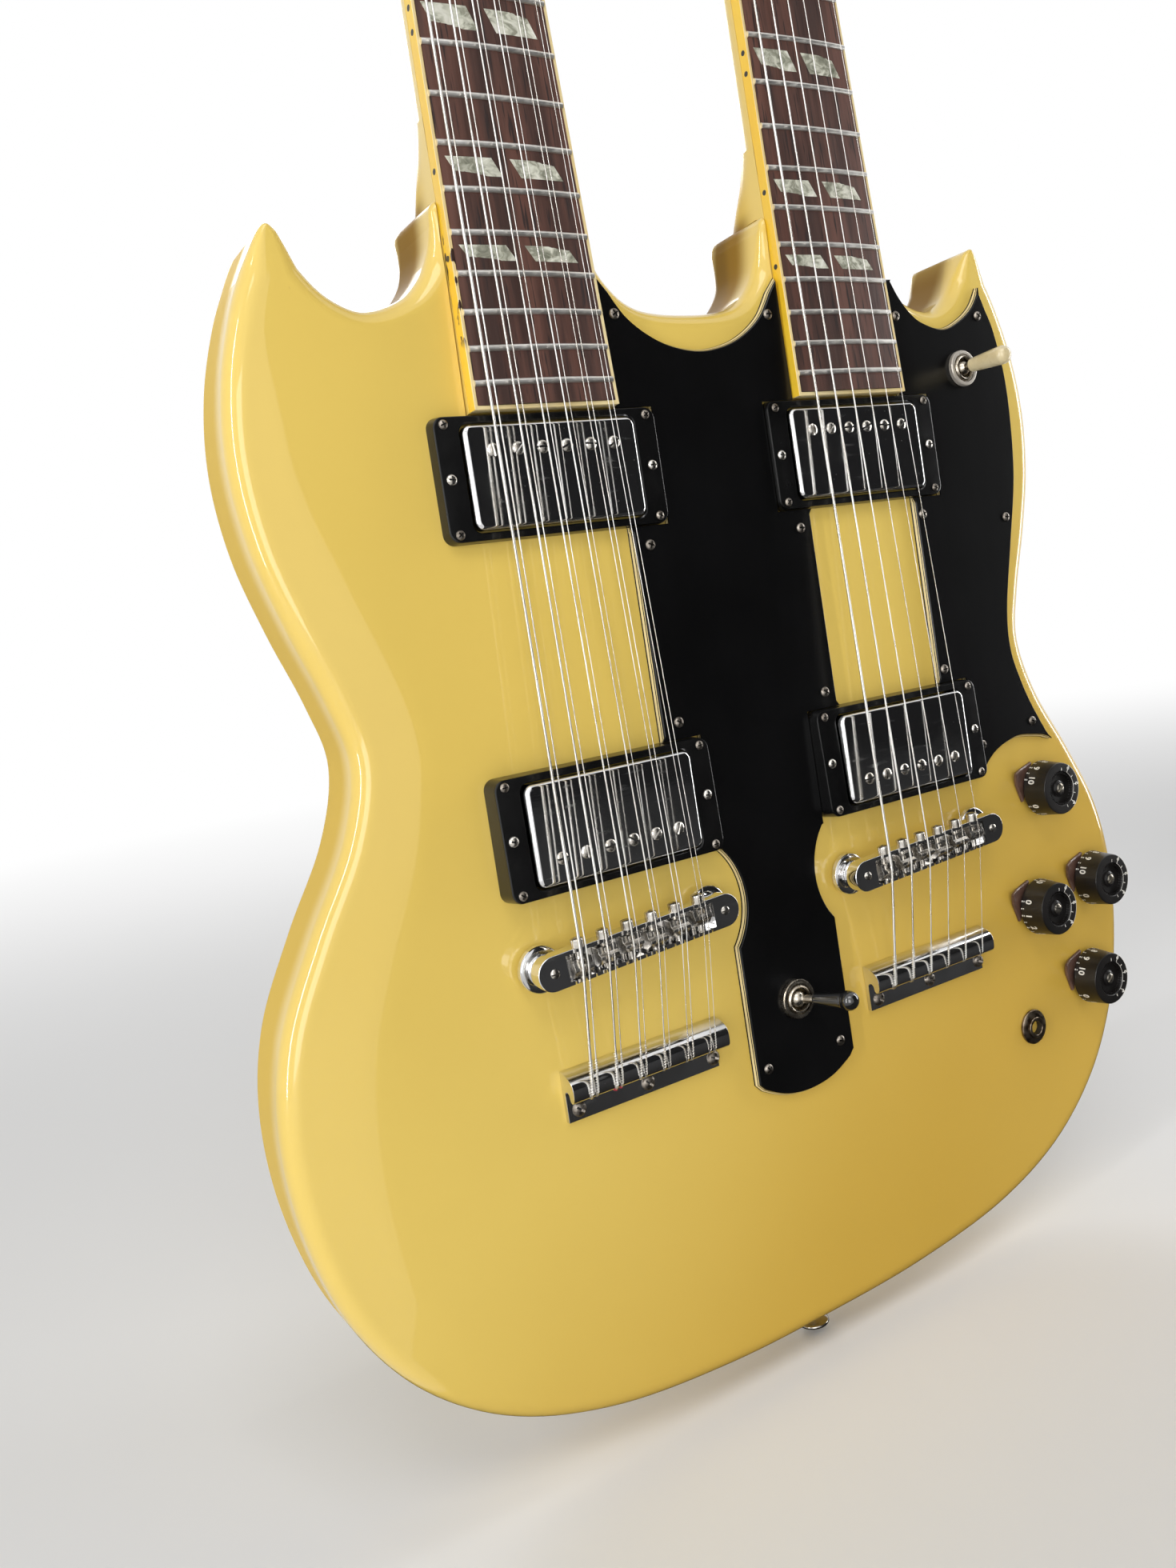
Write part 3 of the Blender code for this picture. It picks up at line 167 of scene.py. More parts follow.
lamp("lamp_above", (-0.6, -1.3, 1.7), (0.0, 0.0, 0.1), 1.2, 0.8, 10.0)
lamp("lamp_left", (-1.5, -0.5, 0.3), (0.0, 0.0, 0.1), 0.06, 1.8, 13.0)
lamp("lamp_front", (-0.80, -1.2, 0.10), (-0.1, 0.0, 0.0), 0.6, 1.1, 7.5)
lamp("lamp_behind", (0.5, 2.0, 1.1), (0.0, 0.0, 0.2), 1.2, 1.2, 16.0)
lamp("lamp_right", (0.76, -0.23, 0.17), (0.2, -0.03, 0.05), 0.12, 0.70, 2.4)

FLOOR_Z = -0.2255
bm = bmesh.new()
bmesh.ops.create_circle(bm, cap_ends=True, segments=96, radius=9.0)
bmesh.ops.translate(bm, verts=bm.verts[:], vec=(0.0, 0.0, FLOOR_Z))
mesh = bpy.data.meshes.new("floor")
bm.to_mesh(mesh)
bm.free()
paper = bpy.data.materials.new("studio_paper")
paper.use_nodes = True
paper.node_tree.nodes.clear()
start = Wire(paper.node_tree)
place = start.node("ShaderNodeTexCoord", outlet="Object")
away = start.node("ShaderNodeVectorMath", {"operation": "LENGTH"}, {0: place}, "Value")
matt = start.node("ShaderNodeBsdfPrincipled", (), {
    "Base Color": place.noise(3.0).blend(rgb(0.84, 0.84, 0.84), rgb(0.87, 0.87, 0.87)),
    "Roughness": 0.9})
glow = start.node("ShaderNodeEmission", (), {"Color": WHITE, "Strength": 1.0})
fade = away.above(1.5, 1.1) * seen_or_mirrored(start)
faded = start.node("ShaderNodeMixShader", (), {0: fade, 1: matt, 2: glow})
start.node("ShaderNodeOutputMaterial", (), {"Surface": faded})
mesh.materials.append(paper)
floor = bpy.data.objects.new("floor", mesh)
scene.collection.objects.link(floor)

# A dark cloth hangs behind the camera and lies in front, so that metal and gloss mirror it. Only the
# slope along the left edge of the body looks past its left side, into the bright part of the room.
bm = bmesh.new()
low = FLOOR_Z + 0.003
drape = [bm.verts.new(point) for point in (
    (0.42, -1.9, 1.7), (2.6, -0.4, 1.7), (0.42, -1.9, low), (2.6, -0.4, low), (-0.15, -0.15, low),
    (2.6, 0.1, low), (-0.21, 0.1, low))]
bm.faces.new([drape[i] for i in (0, 1, 3, 2)])
bm.faces.new([drape[i] for i in (2, 3, 5, 6, 4)])
mesh = bpy.data.meshes.new("dark_cloth")
bm.to_mesh(mesh)
bm.free()
cloth = bpy.data.materials.new("dark_cloth")
cloth.use_nodes = True
start = Wire(cloth.node_tree)
place = start.node("ShaderNodeTexCoord", outlet="Object")
shader = cloth.node_tree.nodes["Principled BSDF"]
weave = place.noise(2.0).blend(rgb(0.002, 0.002, 0.0022), rgb(0.010, 0.010, 0.011))
cloth.node_tree.links.new(weave.socket, shader.inputs["Base Color"])
shader.inputs["Roughness"].default_value = 1.0
mesh.materials.append(cloth)
hanging = bpy.data.objects.new("dark_cloth", mesh)
hanging.visible_camera = False
hanging.visible_diffuse = False
hanging.visible_shadow = False
scene.collection.objects.link(hanging)

# THE BODY
# One slab of mahogany 35 mm thick, sawn to a double-horned outline and rounded over all along its
# edges, then lacquered cream. Its back is routed for the controls, and the necks are glued in.
MM = 0.001
FACE = -35.0 * MM
NECK_X = 71.95 * MM
LAST_FRET = 160.0 * MM
HEEL_RISE = 65.0 * MM
NECK_SIDES = {"twelve": -1.0, "six": 1.0}
BODY_EDGE = (
    (0.0, -213.5), (50.0, -212.3), (100.0, -206.0), (140.0, -192.0), (170.0, -169.5),
    (190.0, -140.0), (200.5, -106.0), (203.0, -72.0), (197.5, -42.0), (183.5, -13.5),
    (167.5, 14.0), (160.3, 39.0), (165.0, 61.0), (174.0, 86.5), (181.5, 113.0),
    (184.2, 140.0), (181.5, 166.0), (174.5, 190.0), (166.0, 208.0), (161.8, 214.0),
    (158.4, 213.4), (155.5, 209.5), (150.8, 201.7), (145.2, 194.8), (139.2, 190.5),
    (132.6, 188.1), (125.5, 188.7), (118.0, 191.4), (112.8, 194.9), (107.2, 201.4),
    (103.9, 208.8), (102.8, 216.0),
)
CENTRE_CUT = (
    (40.7, 219.0), (38.0, 204.5), (31.5, 195.0), (24.0, 189.7), (14.0, 187.3), (0.0, 186.7),
)
CONTROL_EDGE = (
    (151.0, -16.0), (171.0, -24.0), (185.0, -48.0), (192.5, -77.0), (188.5, -105.0),
    (180.5, -130.0), (160.0, -144.0), (134.0, -146.5), (118.0, -134.0), (122.0, -108.0),
    (127.0, -78.0), (134.0, -45.0), (139.0, -23.0),
)
JACK_PLACE = (131.8 * MM, -134.0 * MM)
OUT = Matrix.Rotation(math.radians(90.0), 4, "X")
neck_place = {}
for key, side in NECK_SIDES.items():
    neck_place[key] = (Matrix.Translation((side * NECK_X, FACE - 1.2 * MM, LAST_FRET))
                       @ Matrix.Rotation(math.radians(-1.9), 4, "X"))


def smooth(points, steps, before=None, after=None):
    """Points along a smooth curve through the given ones, without the last."""
    padded = [before or points[0]] + list(points) + [after or points[-1]]
    made = []
    for a, b, c, d in zip(padded, padded[1:], padded[2:], padded[3:]):
        for k in range(steps):
            t = k / steps
            made.append(tuple(
                0.5 * (2.0 * q + (r - p) * t + (2.0 * p - 5.0 * q + 4.0 * r - s) * t * t
                       + (3.0 * q - p - 3.0 * r + s) * t ** 3)
                for p, q, r, s in zip(a, b, c, d)))
    return made


def ring_curve(points, steps):
    return smooth(list(points) + [points[0]], steps, before=points[-1], after=points[1])


def metres(points):
    return [(x * MM, z * MM) for x, z in points]


def mirrored(points):
    return [(-x, z) for x, z in reversed(points)]


def inset(outline, distances):
    """Move an outline inwards by a distance, or by one for each point, with mitred corners."""
    line = np.array(outline)
    along = np.roll(line, -1, axis=0) - line
    along /= np.linalg.norm(along, axis=1)[:, None]
    area = np.sum(line[:, 0] * np.roll(line[:, 1], -1) - np.roll(line[:, 0], -1) * line[:, 1])
    normal = np.stack([-along[:, 1], along[:, 0]], axis=1) * (1.0 if area > 0.0 else -1.0)
    before = np.roll(normal, 1, axis=0)
    bend = 1.0 + np.sum(before * normal, axis=1)
    mitre = (before + normal) / np.maximum(bend, 0.35)[:, None]
    moved = line + mitre * np.broadcast_to(distances, len(line))[:, None]
    return [tuple(point) for point in moved]


def room_inside(outline):
    """How far each point of an outline can move inwards before it meets another one."""
    line = np.array(outline)
    normal = np.array(inset(outline, 1.0)) - line
    stretch = np.linalg.norm(normal, axis=1)
    normal /= stretch[:, None]
    gap = line[None, :, :] - line[:, None, :]
    ahead = np.einsum("ijk,ik->ij", gap, normal)
    reach = np.sum(gap * gap, axis=2)
    return np.where(ahead > 1e-6, 0.42 * reach / np.maximum(ahead, 1e-6), 1.0).min(axis=1) / stretch


def mesh_of(name, bm):
    bmesh.ops.recalc_face_normals(bm, faces=bm.faces[:])
    mesh = bpy.data.meshes.new(name)
    bm.to_mesh(mesh)
    bm.free()
    return mesh


def loft(rings, looped=False):
    """A closed solid through rings with the same number of points, looped back or capped."""
    bm = bmesh.new()
    loops = [[bm.verts.new(point) for point in ring] for ring in rings]
    pairs = list(zip(loops, loops[1:]))
    if looped:
        pairs.append((loops[-1], loops[0]))
    for near, far in pairs:
        for i in range(len(near)):
            j = (i + 1) % len(near)
            bm.faces.new((near[i], near[j], far[j], far[i]))
    if not looped:
        caps = [bm.faces.new(loops[0]), bm.faces.new(loops[-1])]
        bm.normal_update()
        wide = [cap for cap in caps if len(cap.verts) > 60]
        bmesh.ops.triangulate(bm, faces=wide, ngon_method="EAR_CLIP")
    return mesh_of("loft", bm)


def plate(outline, near, far):
    return loft([[(x, y, z) for x, z in outline] for y in (near, far)])


def block(low, high, place=Matrix.Identity(4)):
    made = plate([(low[0], low[2]), (high[0], low[2]), (high[0], high[2]), (low[0], high[2])],
                 low[1], high[1])
    made.transform(place)
    return made


def rod(start, end, radius, steps=32, place=Matrix.Identity(4)):
    start = Vector(start)
    end = Vector(end)
    bm = bmesh.new()
    bmesh.ops.create_cone(bm, cap_ends=True, segments=steps, radius1=radius, radius2=radius,
                          depth=(end - start).length)
    turn = (end - start).to_track_quat("Z", "Y").to_matrix().to_4x4()
    bm.transform(place @ Matrix.Translation((start + end) / 2.0) @ turn)
    return mesh_of("rod", bm)


def carved(mesh, others, operation="DIFFERENCE"):
    """The mesh with others cut out of it, or joined to it."""
    work = bpy.data.objects.new("work", mesh)
    scene.collection.objects.link(work)
    tools = []
    for other in others:
        tool = bpy.data.objects.new("tool", other)
        scene.collection.objects.link(tool)
        step = work.modifiers.new("step", "BOOLEAN")
        step.operation = operation
        step.solver = "EXACT"
        step.object = tool
        tools.append(tool)
    made = bpy.data.meshes.new_from_object(work.evaluated_get(bpy.context.evaluated_depsgraph_get()))
    for old in tools + [work]:
        bpy.data.objects.remove(old, do_unlink=True)
    return made


def piece(name, mesh, material, replaced=(), body="guitar", slot=None, sharp=40.0):
    """Finish a mesh as a piece that rides on a body and stands for some CAD nodes."""
    mesh.name = name
    mesh.materials.clear()
    mesh.materials.append(material)
    mesh.polygons.foreach_set("material_index", [0] * len(mesh.polygons))
    mesh.shade_smooth()
    mesh.set_sharp_from_angle(angle=math.radians(sharp))
    obj = bpy.data.objects.new(name, mesh)
    scene.collection.objects.link(obj)
    even = obj.modifiers.new("even_shading", "WEIGHTED_NORMAL")
    even.keep_sharp = True
    graph = bpy.context.evaluated_depsgraph_get()
    obj.data = bpy.data.meshes.new_from_object(obj.evaluated_get(graph))
    obj.modifiers.clear()
    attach(obj, body)
    slot or (replaced[0] if replaced else "body")
    if replaced:
        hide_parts(*replaced)
    return obj


def finish(name, metallic=0.0, coat=0.0, specular=0.5):
    """A new material, a wire at its object coordinates, and a function that plugs a socket."""
    material = bpy.data.materials.new(name)
    material.use_nodes = True
    tree = material.node_tree
    shader = tree.nodes["Principled BSDF"]
    shader.inputs["Metallic"].default_value = metallic
    shader.inputs["Coat Weight"].default_value = coat
    shader.inputs["Coat Roughness"].default_value = 0.04
    shader.inputs["Specular IOR Level"].default_value = specular
    place = Wire(tree).node("ShaderNodeTexCoord", outlet="Object")

    def plug(socket, value):
        tree.links.new(value.socket, shader.inputs[socket])

    return material, place, plug


def bump(height, strength, distance=0.001):
    """A normal from a height wire."""
    return height.node("ShaderNodeBump", (), {"Height": height, "Strength": strength,
                                              "Distance": distance})


def cream_lacquer(name):
    """Aged cream nitro lacquer: duller on the walls, amber in the cutaways, with painted shade that darkens
    the face low down and to the right.
    """
    material, place, plug = finish(name, coat=1.0, specular=0.2)
    across = place.axis("X")
    rise = place.axis("Z")
    depth = place.axis("Y")
    cloud = place.noise(5.0, 3.0).above(0.5, 0.25)
    face = cloud.blend(rgb(0.765, 0.545, 0.115), rgb(0.800, 0.585, 0.135))
    # Painted shade: the darker colour called low is blended over the lower right of the face on the next
    # line.
    low = cloud.blend(rgb(0.640, 0.405, 0.060), rgb(0.680, 0.440, 0.072))
    face = (0.9 * across - rise).above(0.10, 0.13).blend(face, low)
    side = cloud.blend(rgb(0.640, 0.430, 0.070), rgb(0.700, 0.480, 0.090))
    amber = cloud.blend(rgb(0.230, 0.120, 0.006), rgb(0.280, 0.150, 0.010))
    between_horns = 1.0 - across.sum("ABSOLUTE", across).above(0.160, 0.008)
    inner = (rise.above(0.165, 0.02) - rise.above(0.228, 0.004)) * between_horns
    wall = inner.blend(side, amber)
    aged = depth.above(-0.024, 0.006) - depth.above(-0.003, 0.003)
    ding = place.noise(95.0, 2.0).above(0.83, 0.012)
    plug("Base Color", ding.blend(aged.blend(face, wall), rgb(0.26, 0.11, 0.03)))
    plug("Coat Weight", 1.0 - aged)
    plug("Roughness", 0.26 + 0.06 * place.noise(30.0) + 0.25 * aged)
    plug("Normal", bump(place.noise(7.0, 1.0), 0.02, 0.004))
    return material


CREAM = cream_lacquer("cream_lacquer")
edge = metres(smooth(BODY_EDGE, 8, before=(-BODY_EDGE[1][0], BODY_EDGE[1][1])) + [BODY_EDGE[-1]])
centre = metres(smooth(CENTRE_CUT, 8, after=(-CENTRE_CUT[-2][0], CENTRE_CUT[-2][1])))
shoulder = LAST_FRET + HEEL_RISE
corner = []
for middle, first in ((NECK_X + 25.8 * MM, 0.0), (NECK_X - 25.8 * MM, 90.0)):
    for degrees in range(0, 91, 15):
        angle = math.radians(first + degrees)
        corner.append((middle + 5.0 * MM * math.cos(angle),
                       shoulder - 5.0 * MM + 5.0 * MM * math.sin(angle)))
half = edge + corner + centre + [(0.0, CENTRE_CUT[-1][1] * MM)]
outline = half + mirrored(half[1:-1])
line = np.array(outline)
room = room_inside(outline)
at_neck = np.abs(np.abs(line[:, 0]) - NECK_X) < 36.0 * MM
near_neck = np.clip((line[:, 1] - 0.204) / 0.016, 0.0, 1.0) * at_neck
most = np.minimum(0.75 * room, 7.0 * MM * (1.0 - 0.65 * near_neck))
slope_at = (
    (-213.0, 0.0), (-200.0, 6.0), (-170.0, 15.0), (-146.0, 19.0), (-100.0, 22.0), (-61.0, 24.0),
    (-36.0, 24.0), (0.0, 22.0), (29.0, 19.0), (57.0, 20.0), (101.0, 17.0), (133.0, 12.0),
    (158.0, 9.0), (184.0, 2.0), (205.0, 0.0),
)
horn_points = 90
outer = np.arange(len(outline)) > len(outline) - len(edge) + horn_points
slope = np.interp(line[:, 1], [z * MM for z, _ in slope_at], [w * MM for _, w in slope_at]) * outer
STEEP = 0.07
ROUNDED = 0.8
LAND = 0.8 * MM
rings = []
for share in (1.0, 0.9, 0.8, 0.7, 0.6, 0.0):
    across = np.minimum(most + LAND + (slope + 0.5 * MM) * share, (0.80 + 0.2 * share) * room)
    if share < 0.5:
        fall = STEEP * slope * (ROUNDED - share)
    else:
        fall = STEEP * slope * (1.0 - share) ** 2 / ROUNDED
    rings.append([(x, FACE + fall[i], z) for i, (x, z) in enumerate(inset(outline, across))])
turns = [math.radians(90.0 - 90.0 * k / 8.0) for k in range(9)]
front_edge = (FACE, 1.0, turns, STEEP * ROUNDED * slope)
back_edge = (0.0, -1.0, turns[::-1], np.zeros(len(outline)))
for start_y, sign, angles, fall in (front_edge, back_edge):
    for angle in angles:
        moved = inset(outline, np.minimum(most * (1.0 - math.cos(angle)), room))
        rings.append([(x, start_y + sign * most[i] * (1.0 - math.sin(angle)) + fall[i], z)
                      for i, (x, z) in enumerate(moved)])
rings.append([(x, 0.0, z) for x, z in inset(outline, np.minimum(most + LAND, room))])
body = loft(rings)
holes = []
for key in NECK_SIDES:
    wide = metres([(-29.8, -9.4), (29.8, -9.4), (28.4, 68.0), (-28.4, 68.0)])
    tongue = plate(wide, -12.0 * MM, 4.6 * MM)
    tongue.transform(neck_place[key])
    holes.append(tongue)
    holes.append(block((-19.1 * MM, -12.0 * MM, 3.9 * MM), (19.1 * MM, 22.1 * MM, 68.0 * MM),
                       neck_place[key]))
    holes.append(block((-36.0 * MM, -12.0 * MM, HEEL_RISE), (36.0 * MM, 48.0 * MM, HEEL_RISE + 20.0 * MM),
                       neck_place[key]))
control = metres(ring_curve(CONTROL_EDGE, 6))
holes.append(plate(control, -27.0 * MM, 1.0 * MM))
holes.append(plate(inset(control, -3.8 * MM), -2.6 * MM, 1.0 * MM))
x, z = JACK_PLACE
holes.append(rod((x, -60.0 * MM, z), (x, -20.0 * MM, z), 5.0 * MM))
piece("guitar_body", carved(body, holes), CREAM, ["body"], sharp=30.0)

# THE PICKGUARDS
# Two flat plates cut from black sheet with two thin cream layers in it, screwed to the face. Their
# edges are planed to a slope, so the layers show there as fine lines round the black.
GUARD_TOP = FACE - 2.7 * MM
PICKUP_Z = {"neck": 128.6 * MM, "bridge": 5.0 * MM}
RING_WIDTH = 91.0 * MM
RING_LENGTH = 43.5 * MM
NUT_RISE = 430.65 * MM
BRIDGE_Z = -39.1 * MM
STUD = 36.6 * MM
TOGGLE_PLACES = {"tail": (0.0, -82.6 * MM), "horn": (140.6 * MM, 160.5 * MM)}


def board_half(rise, margin=0.0):
    """Half the width of the board and its binding at a height above the last fret."""
    return (58.5 * MM - 15.2 * MM * (rise + 9.0 * MM) / (NUT_RISE + 9.0 * MM)) / 2.0 + margin


def centre_guard():
    strip = NECK_X - 28.3 * MM
    ring_side = NECK_X - RING_WIDTH / 2.0 - 0.1 * MM
    reach = RING_LENGTH / 2.0 + 0.1 * MM
    top = [(0.0, 171.7), (12.0, 173.5), (22.0, 177.7), (31.0, 184.5), (37.5, 193.7)]
    top = metres(smooth(top, 8, before=(-12.0, 173.5)) + [top[-1]])
    corner = top[-1][1] + 6.0 * MM
    sides = [(NECK_X - board_half(corner - LAST_FRET) - 0.6 * MM, corner),
             (NECK_X - board_half(-9.0 * MM) - 0.6 * MM, PICKUP_Z["neck"] + reach),
             (ring_side, PICKUP_Z["neck"] + reach), (ring_side, PICKUP_Z["neck"] - reach),
             (strip, PICKUP_Z["neck"] - reach), (strip, PICKUP_Z["neck"] - reach - 2.0 * MM),
             (strip, PICKUP_Z["bridge"] + reach + 2.0 * MM), (strip, PICKUP_Z["bridge"] + reach),
             (ring_side, PICKUP_Z["bridge"] + reach), (ring_side, PICKUP_Z["bridge"] - reach)]
    tail = [(25.3, -110.8), (22.5, -113.8), (12.0, -118.8), (0.0, -120.5)]
    round_end = smooth(tail[1:], 6, before=tail[0], after=(-12.0, -118.8))
    tail = metres(tail[:1] + round_end + [tail[-1]])
    middle = NECK_X - STUD + 11.6 * MM
    wide = 28.3 * MM
    first = math.acos((middle - ring_side) / wide)
    last = -math.acos((middle - tail[0][0]) / wide)
    arc = [(middle - wide * math.cos(angle), BRIDGE_Z + 1.3 * MM + wide * math.sin(angle))
           for angle in np.linspace(first, last, 25)]
    half = top + sides + arc + tail
    low = PICKUP_Z["bridge"] - reach - 0.3 * MM
    return [(x + (1.2 * MM if z < low else 0.0), z) for x, z in half + mirrored(half[1:-1])]


def treble_guard():
    ring_side = NECK_X + RING_WIDTH / 2.0 + 0.1 * MM
    strip = NECK_X + 29.3 * MM
    reach = RING_LENGTH / 2.0 + 0.1 * MM
    cutaway = [(105.7, 199.5), (109.5, 192.5), (114.9, 186.0), (121.3, 181.8), (133.0, 179.0),
               (143.6, 182.5), (152.5, 188.5), (158.5, 196.6)]
    side = [(158.9, 195.6), (159.9, 192.9), (162.1, 187.0), (165.8, 177.0), (169.2, 157.2),
            (169.2, 135.4), (166.3, 110.2), (158.5, 81.7), (150.7, 53.6), (149.3, 35.6),
            (153.2, 20.5), (158.7, 7.5), (167.8, -9.0)]
    low = [(166.4, -8.6), (163.6, -7.7), (160.3, -6.7), (148.5, -4.8), (141.5, -5.3), (133.0, -7.7),
           (127.0, -11.0), (121.0, -16.2)]
    corner = 200.0 * MM
    points = [(NECK_X + board_half(corner - LAST_FRET) + 0.6 * MM, corner)]
    for run in (cutaway, side, low):
        points += metres(smooth(run, 8) + [run[-1]])
    return points + [(ring_side, PICKUP_Z["bridge"] - reach), (ring_side, PICKUP_Z["bridge"] + reach),
                     (strip, PICKUP_Z["bridge"] + reach), (strip, PICKUP_Z["bridge"] + reach + 2.0 * MM),
                     (strip, PICKUP_Z["neck"] - reach - 2.0 * MM), (strip, PICKUP_Z["neck"] - reach),
                     (ring_side, PICKUP_Z["neck"] - reach), (ring_side, PICKUP_Z["neck"] + reach),
                     (NECK_X + board_half(-9.0 * MM) + 0.6 * MM, PICKUP_Z["neck"] + reach)]


def laminate(name):
    """Black gloss sheet with two cream layers that are met at set depths under its top."""
    material, place, plug = finish(name, specular=0.3)
    depth = (place.axis("Y") - GUARD_TOP) * 1000.0
    cream = (depth.above(0.70, 0.03) - depth.above(0.98, 0.03)
             + depth.above(1.30, 0.03) - depth.above(2.10, 0.03))
    cloud = place.noise(18.0).above(0.5, 0.3)
    black = cloud.blend(rgb(0.0020, 0.0020, 0.0021), rgb(0.0045, 0.0045, 0.0048))
    plug("Base Color", cream.blend(black, rgb(0.74, 0.60, 0.30)))
    scuff = place.noise(260.0, 2.0, (1.0, 1.0, 0.06))
    plug("Roughness", 0.22 + 0.03 * scuff)
    plug("Normal", bump(place.noise(22.0, 2.0), 0.03, 0.002))
    return material


LAMINATE = laminate("laminated_guard")
for name, outline, key in (("centre", centre_guard(), "tail"), ("treble", treble_guard(), "horn")):
    room = room_inside(outline)
    line = np.array(outline)
    beside = np.zeros(len(line), bool)
    for rise in PICKUP_Z.values():
        beside |= ((np.abs(np.abs(line[:, 0]) - NECK_X) < RING_WIDTH / 2.0 + 0.3 * MM)
                   & (np.abs(line[:, 1] - rise) < RING_LENGTH / 2.0 + 0.3 * MM))
    room[beside] = 0.0
    rings = []
    for h, w in ((0.05, 0.0), (0.35, 0.05), (2.58, 1.25), (2.7, 1.45)):
        across = np.minimum(w * MM, room * (0.9 + 0.1 * w / 1.45))
        rings.append([(x, FACE - h * MM, z) for x, z in inset(outline, across)])
    x, z = TOGGLE_PLACES[key]
    hole = rod((x, FACE + 2.0 * MM, z), (x, FACE - 8.0 * MM, z), 6.3 * MM, 40)
    piece("guard_" + name, carved(loft(rings), [hole]), LAMINATE, ["pickguard_" + name], sharp=20.0)

# THE NECKS
# Each neck is one piece of wood with its heel and headstock, shaped by hand and lacquered cream
# with the body. It is glued into the body by a tenon, and the headstock leans back 14 degrees.
HEAD_THICK = 14.5 * MM
HEAD_EDGE = 1.6 * MM
FIRST_POST = 45.0 * MM
POST_OFFSET = 24.0 * MM
POSTS = {"twelve": 6, "six": 3}
PITCH = {"twelve": 32.0 * MM, "six": 37.0 * MM}
head_place = {key: place @ Matrix.Translation((0.0, 1.0 * MM, NUT_RISE + 5.0 * MM))
              @ Matrix.Rotation(math.radians(-14.0), 4, "X") for key, place in neck_place.items()}
STATIONS = (
    (65.0, 30.0, 4.5), (73.0, 26.1, 4.0), (82.0, 21.9, 3.2), (93.0, 19.0, 2.6), (109.0, 17.6, 2.2),
    (410.65, 14.5, 2.1), (429.65, 14.9, 2.2),
)


def neck_section(rise, depth, fullness, half):
    points = []
    for k in range(33):
        x = -math.cos(math.pi * k / 32.0)
        y = math.sin(math.pi * k / 32.0)
        points.append((half * math.copysign(abs(x) ** (2.0 / fullness), x),
                       depth * abs(y) ** (2.0 / fullness), rise))
    return points


def head_outline(key):
    length = (FIRST_POST + (POSTS[key] - 1) * PITCH[key] + 32.0 * MM) / MM
    right = [(21.45, -1.0), (22.65, 8.0), (28.8, 20.0), (34.4, 30.0), (36.8, 42.0), (38.4, 55.0),
             (39.3, 0.5 * length + 20.0), (39.9, length - 26.0), (40.0, length - 12.0),
             (38.5, length - 4.0), (33.0, length), (20.0, length + 3.0), (0.0, length + 4.5)]
    points = metres(smooth(right, 5, after=(-20.0, length + 3.0)) + [right[-1]])
    return points + mirrored(points[:-1])


for key in NECK_SIDES:
    fine = smooth(STATIONS, 5)[:-5] + [STATIONS[-2], STATIONS[-1]]
    rings = [neck_section(rise * MM, depth * MM, fullness, board_half(rise * MM))
             for rise, depth, fullness in fine]
    end = neck_section(NUT_RISE + 8.0 * MM, 15.2 * MM, 2.4, board_half(NUT_RISE + 5.0 * MM))
    rings.append([(x, y + 2.0 * MM if y < 1.0 * MM else y, z) for x, y, z in end])
    shaft = loft(rings)
    wide = board_half(-9.0 * MM)
    narrow = board_half(HEEL_RISE + 2.0 * MM)
    tongue = loft([[(-half, 0.0, rise), (half, 0.0, rise), (half, 4.5 * MM, rise), (-half, 4.5 * MM, rise)]
                   for rise, half in ((-9.0 * MM, wide), (HEEL_RISE + 2.0 * MM, narrow))])
    tenon = block((-19.0 * MM, 1.0 * MM, 4.0 * MM), (19.0 * MM, 22.0 * MM, 67.0 * MM))
    around_head = head_outline(key)
    room = room_inside(around_head)
    quarter = range(90, -1, -15)
    rings = []
    for face_y, sign, turns in ((0.0, 1.0, quarter), (HEAD_THICK, -1.0, reversed(quarter))):
        for degrees in turns:
            across = np.minimum(HEAD_EDGE, 0.8 * room) * (1.0 - math.cos(math.radians(degrees)))
            y = face_y + sign * HEAD_EDGE * (1.0 - math.sin(math.radians(degrees)))
            rings.append([(x, y, z) for x, z in inset(around_head, across)])
    head = loft(rings)
    leaning = neck_place[key].inverted() @ head_place[key]
    head.transform(leaning)
    neck = carved(shaft, [tongue, tenon, head], "UNION")
    holes = []
    for side in (-POST_OFFSET, POST_OFFSET):
        for i in range(POSTS[key]):
            rise = FIRST_POST + i * PITCH[key]
            holes.append(rod((side, -1.0 * MM, rise), (side, 16.0 * MM, rise), 3.4 * MM, 20, leaning))
    neck = carved(neck, holes)
    neck.transform(neck_place[key])
    piece("neck_wood_" + key, neck, CREAM, ["neck_" + key], sharp=28.0)

# THE FRETBOARDS
# A rosewood board with an arched top is glued on each neck inside a cream plastic binding, and a
# nut of paler plastic with a slot for every string stands at its upper end.
BOARD_THICK = 6.2 * MM
BOARD_RADIUS = 305.0 * MM
NUT_SPREAD = 35.5 * MM
SADDLE_SPREAD = 51.5 * MM


def board_top(x):
    return x * x / (2.0 * BOARD_RADIUS) - BOARD_THICK


def string_offsets(key):
    """Each string's distance from its neck's centreline at the nut and at the saddle."""
    places = []
    for course in range(6):
        share = course / 5.0 - 0.5
        for half in ((0.0,) if key == "six" else (-0.5, 0.5)):
            places.append((share * NUT_SPREAD + half * 1.8 * MM, share * SADDLE_SPREAD + half * 2.2 * MM))
    return places


def eased(mesh, width, segments=3, angle=35.0):
    """The mesh with its sharp edges rounded over."""
    bm = bmesh.new()
    bm.from_mesh(mesh)
    bmesh.ops.remove_doubles(bm, verts=bm.verts[:], dist=0.000002)
    sharp = [edge for edge in bm.edges
             if len(edge.link_faces) == 2 and edge.calc_face_angle() > math.radians(angle)]
    bmesh.ops.bevel(bm, geom=sharp, offset=width, offset_type="OFFSET", segments=segments,
                    profile=0.5, affect="EDGES", clamp_overlap=True)
    return mesh_of("eased", bm)


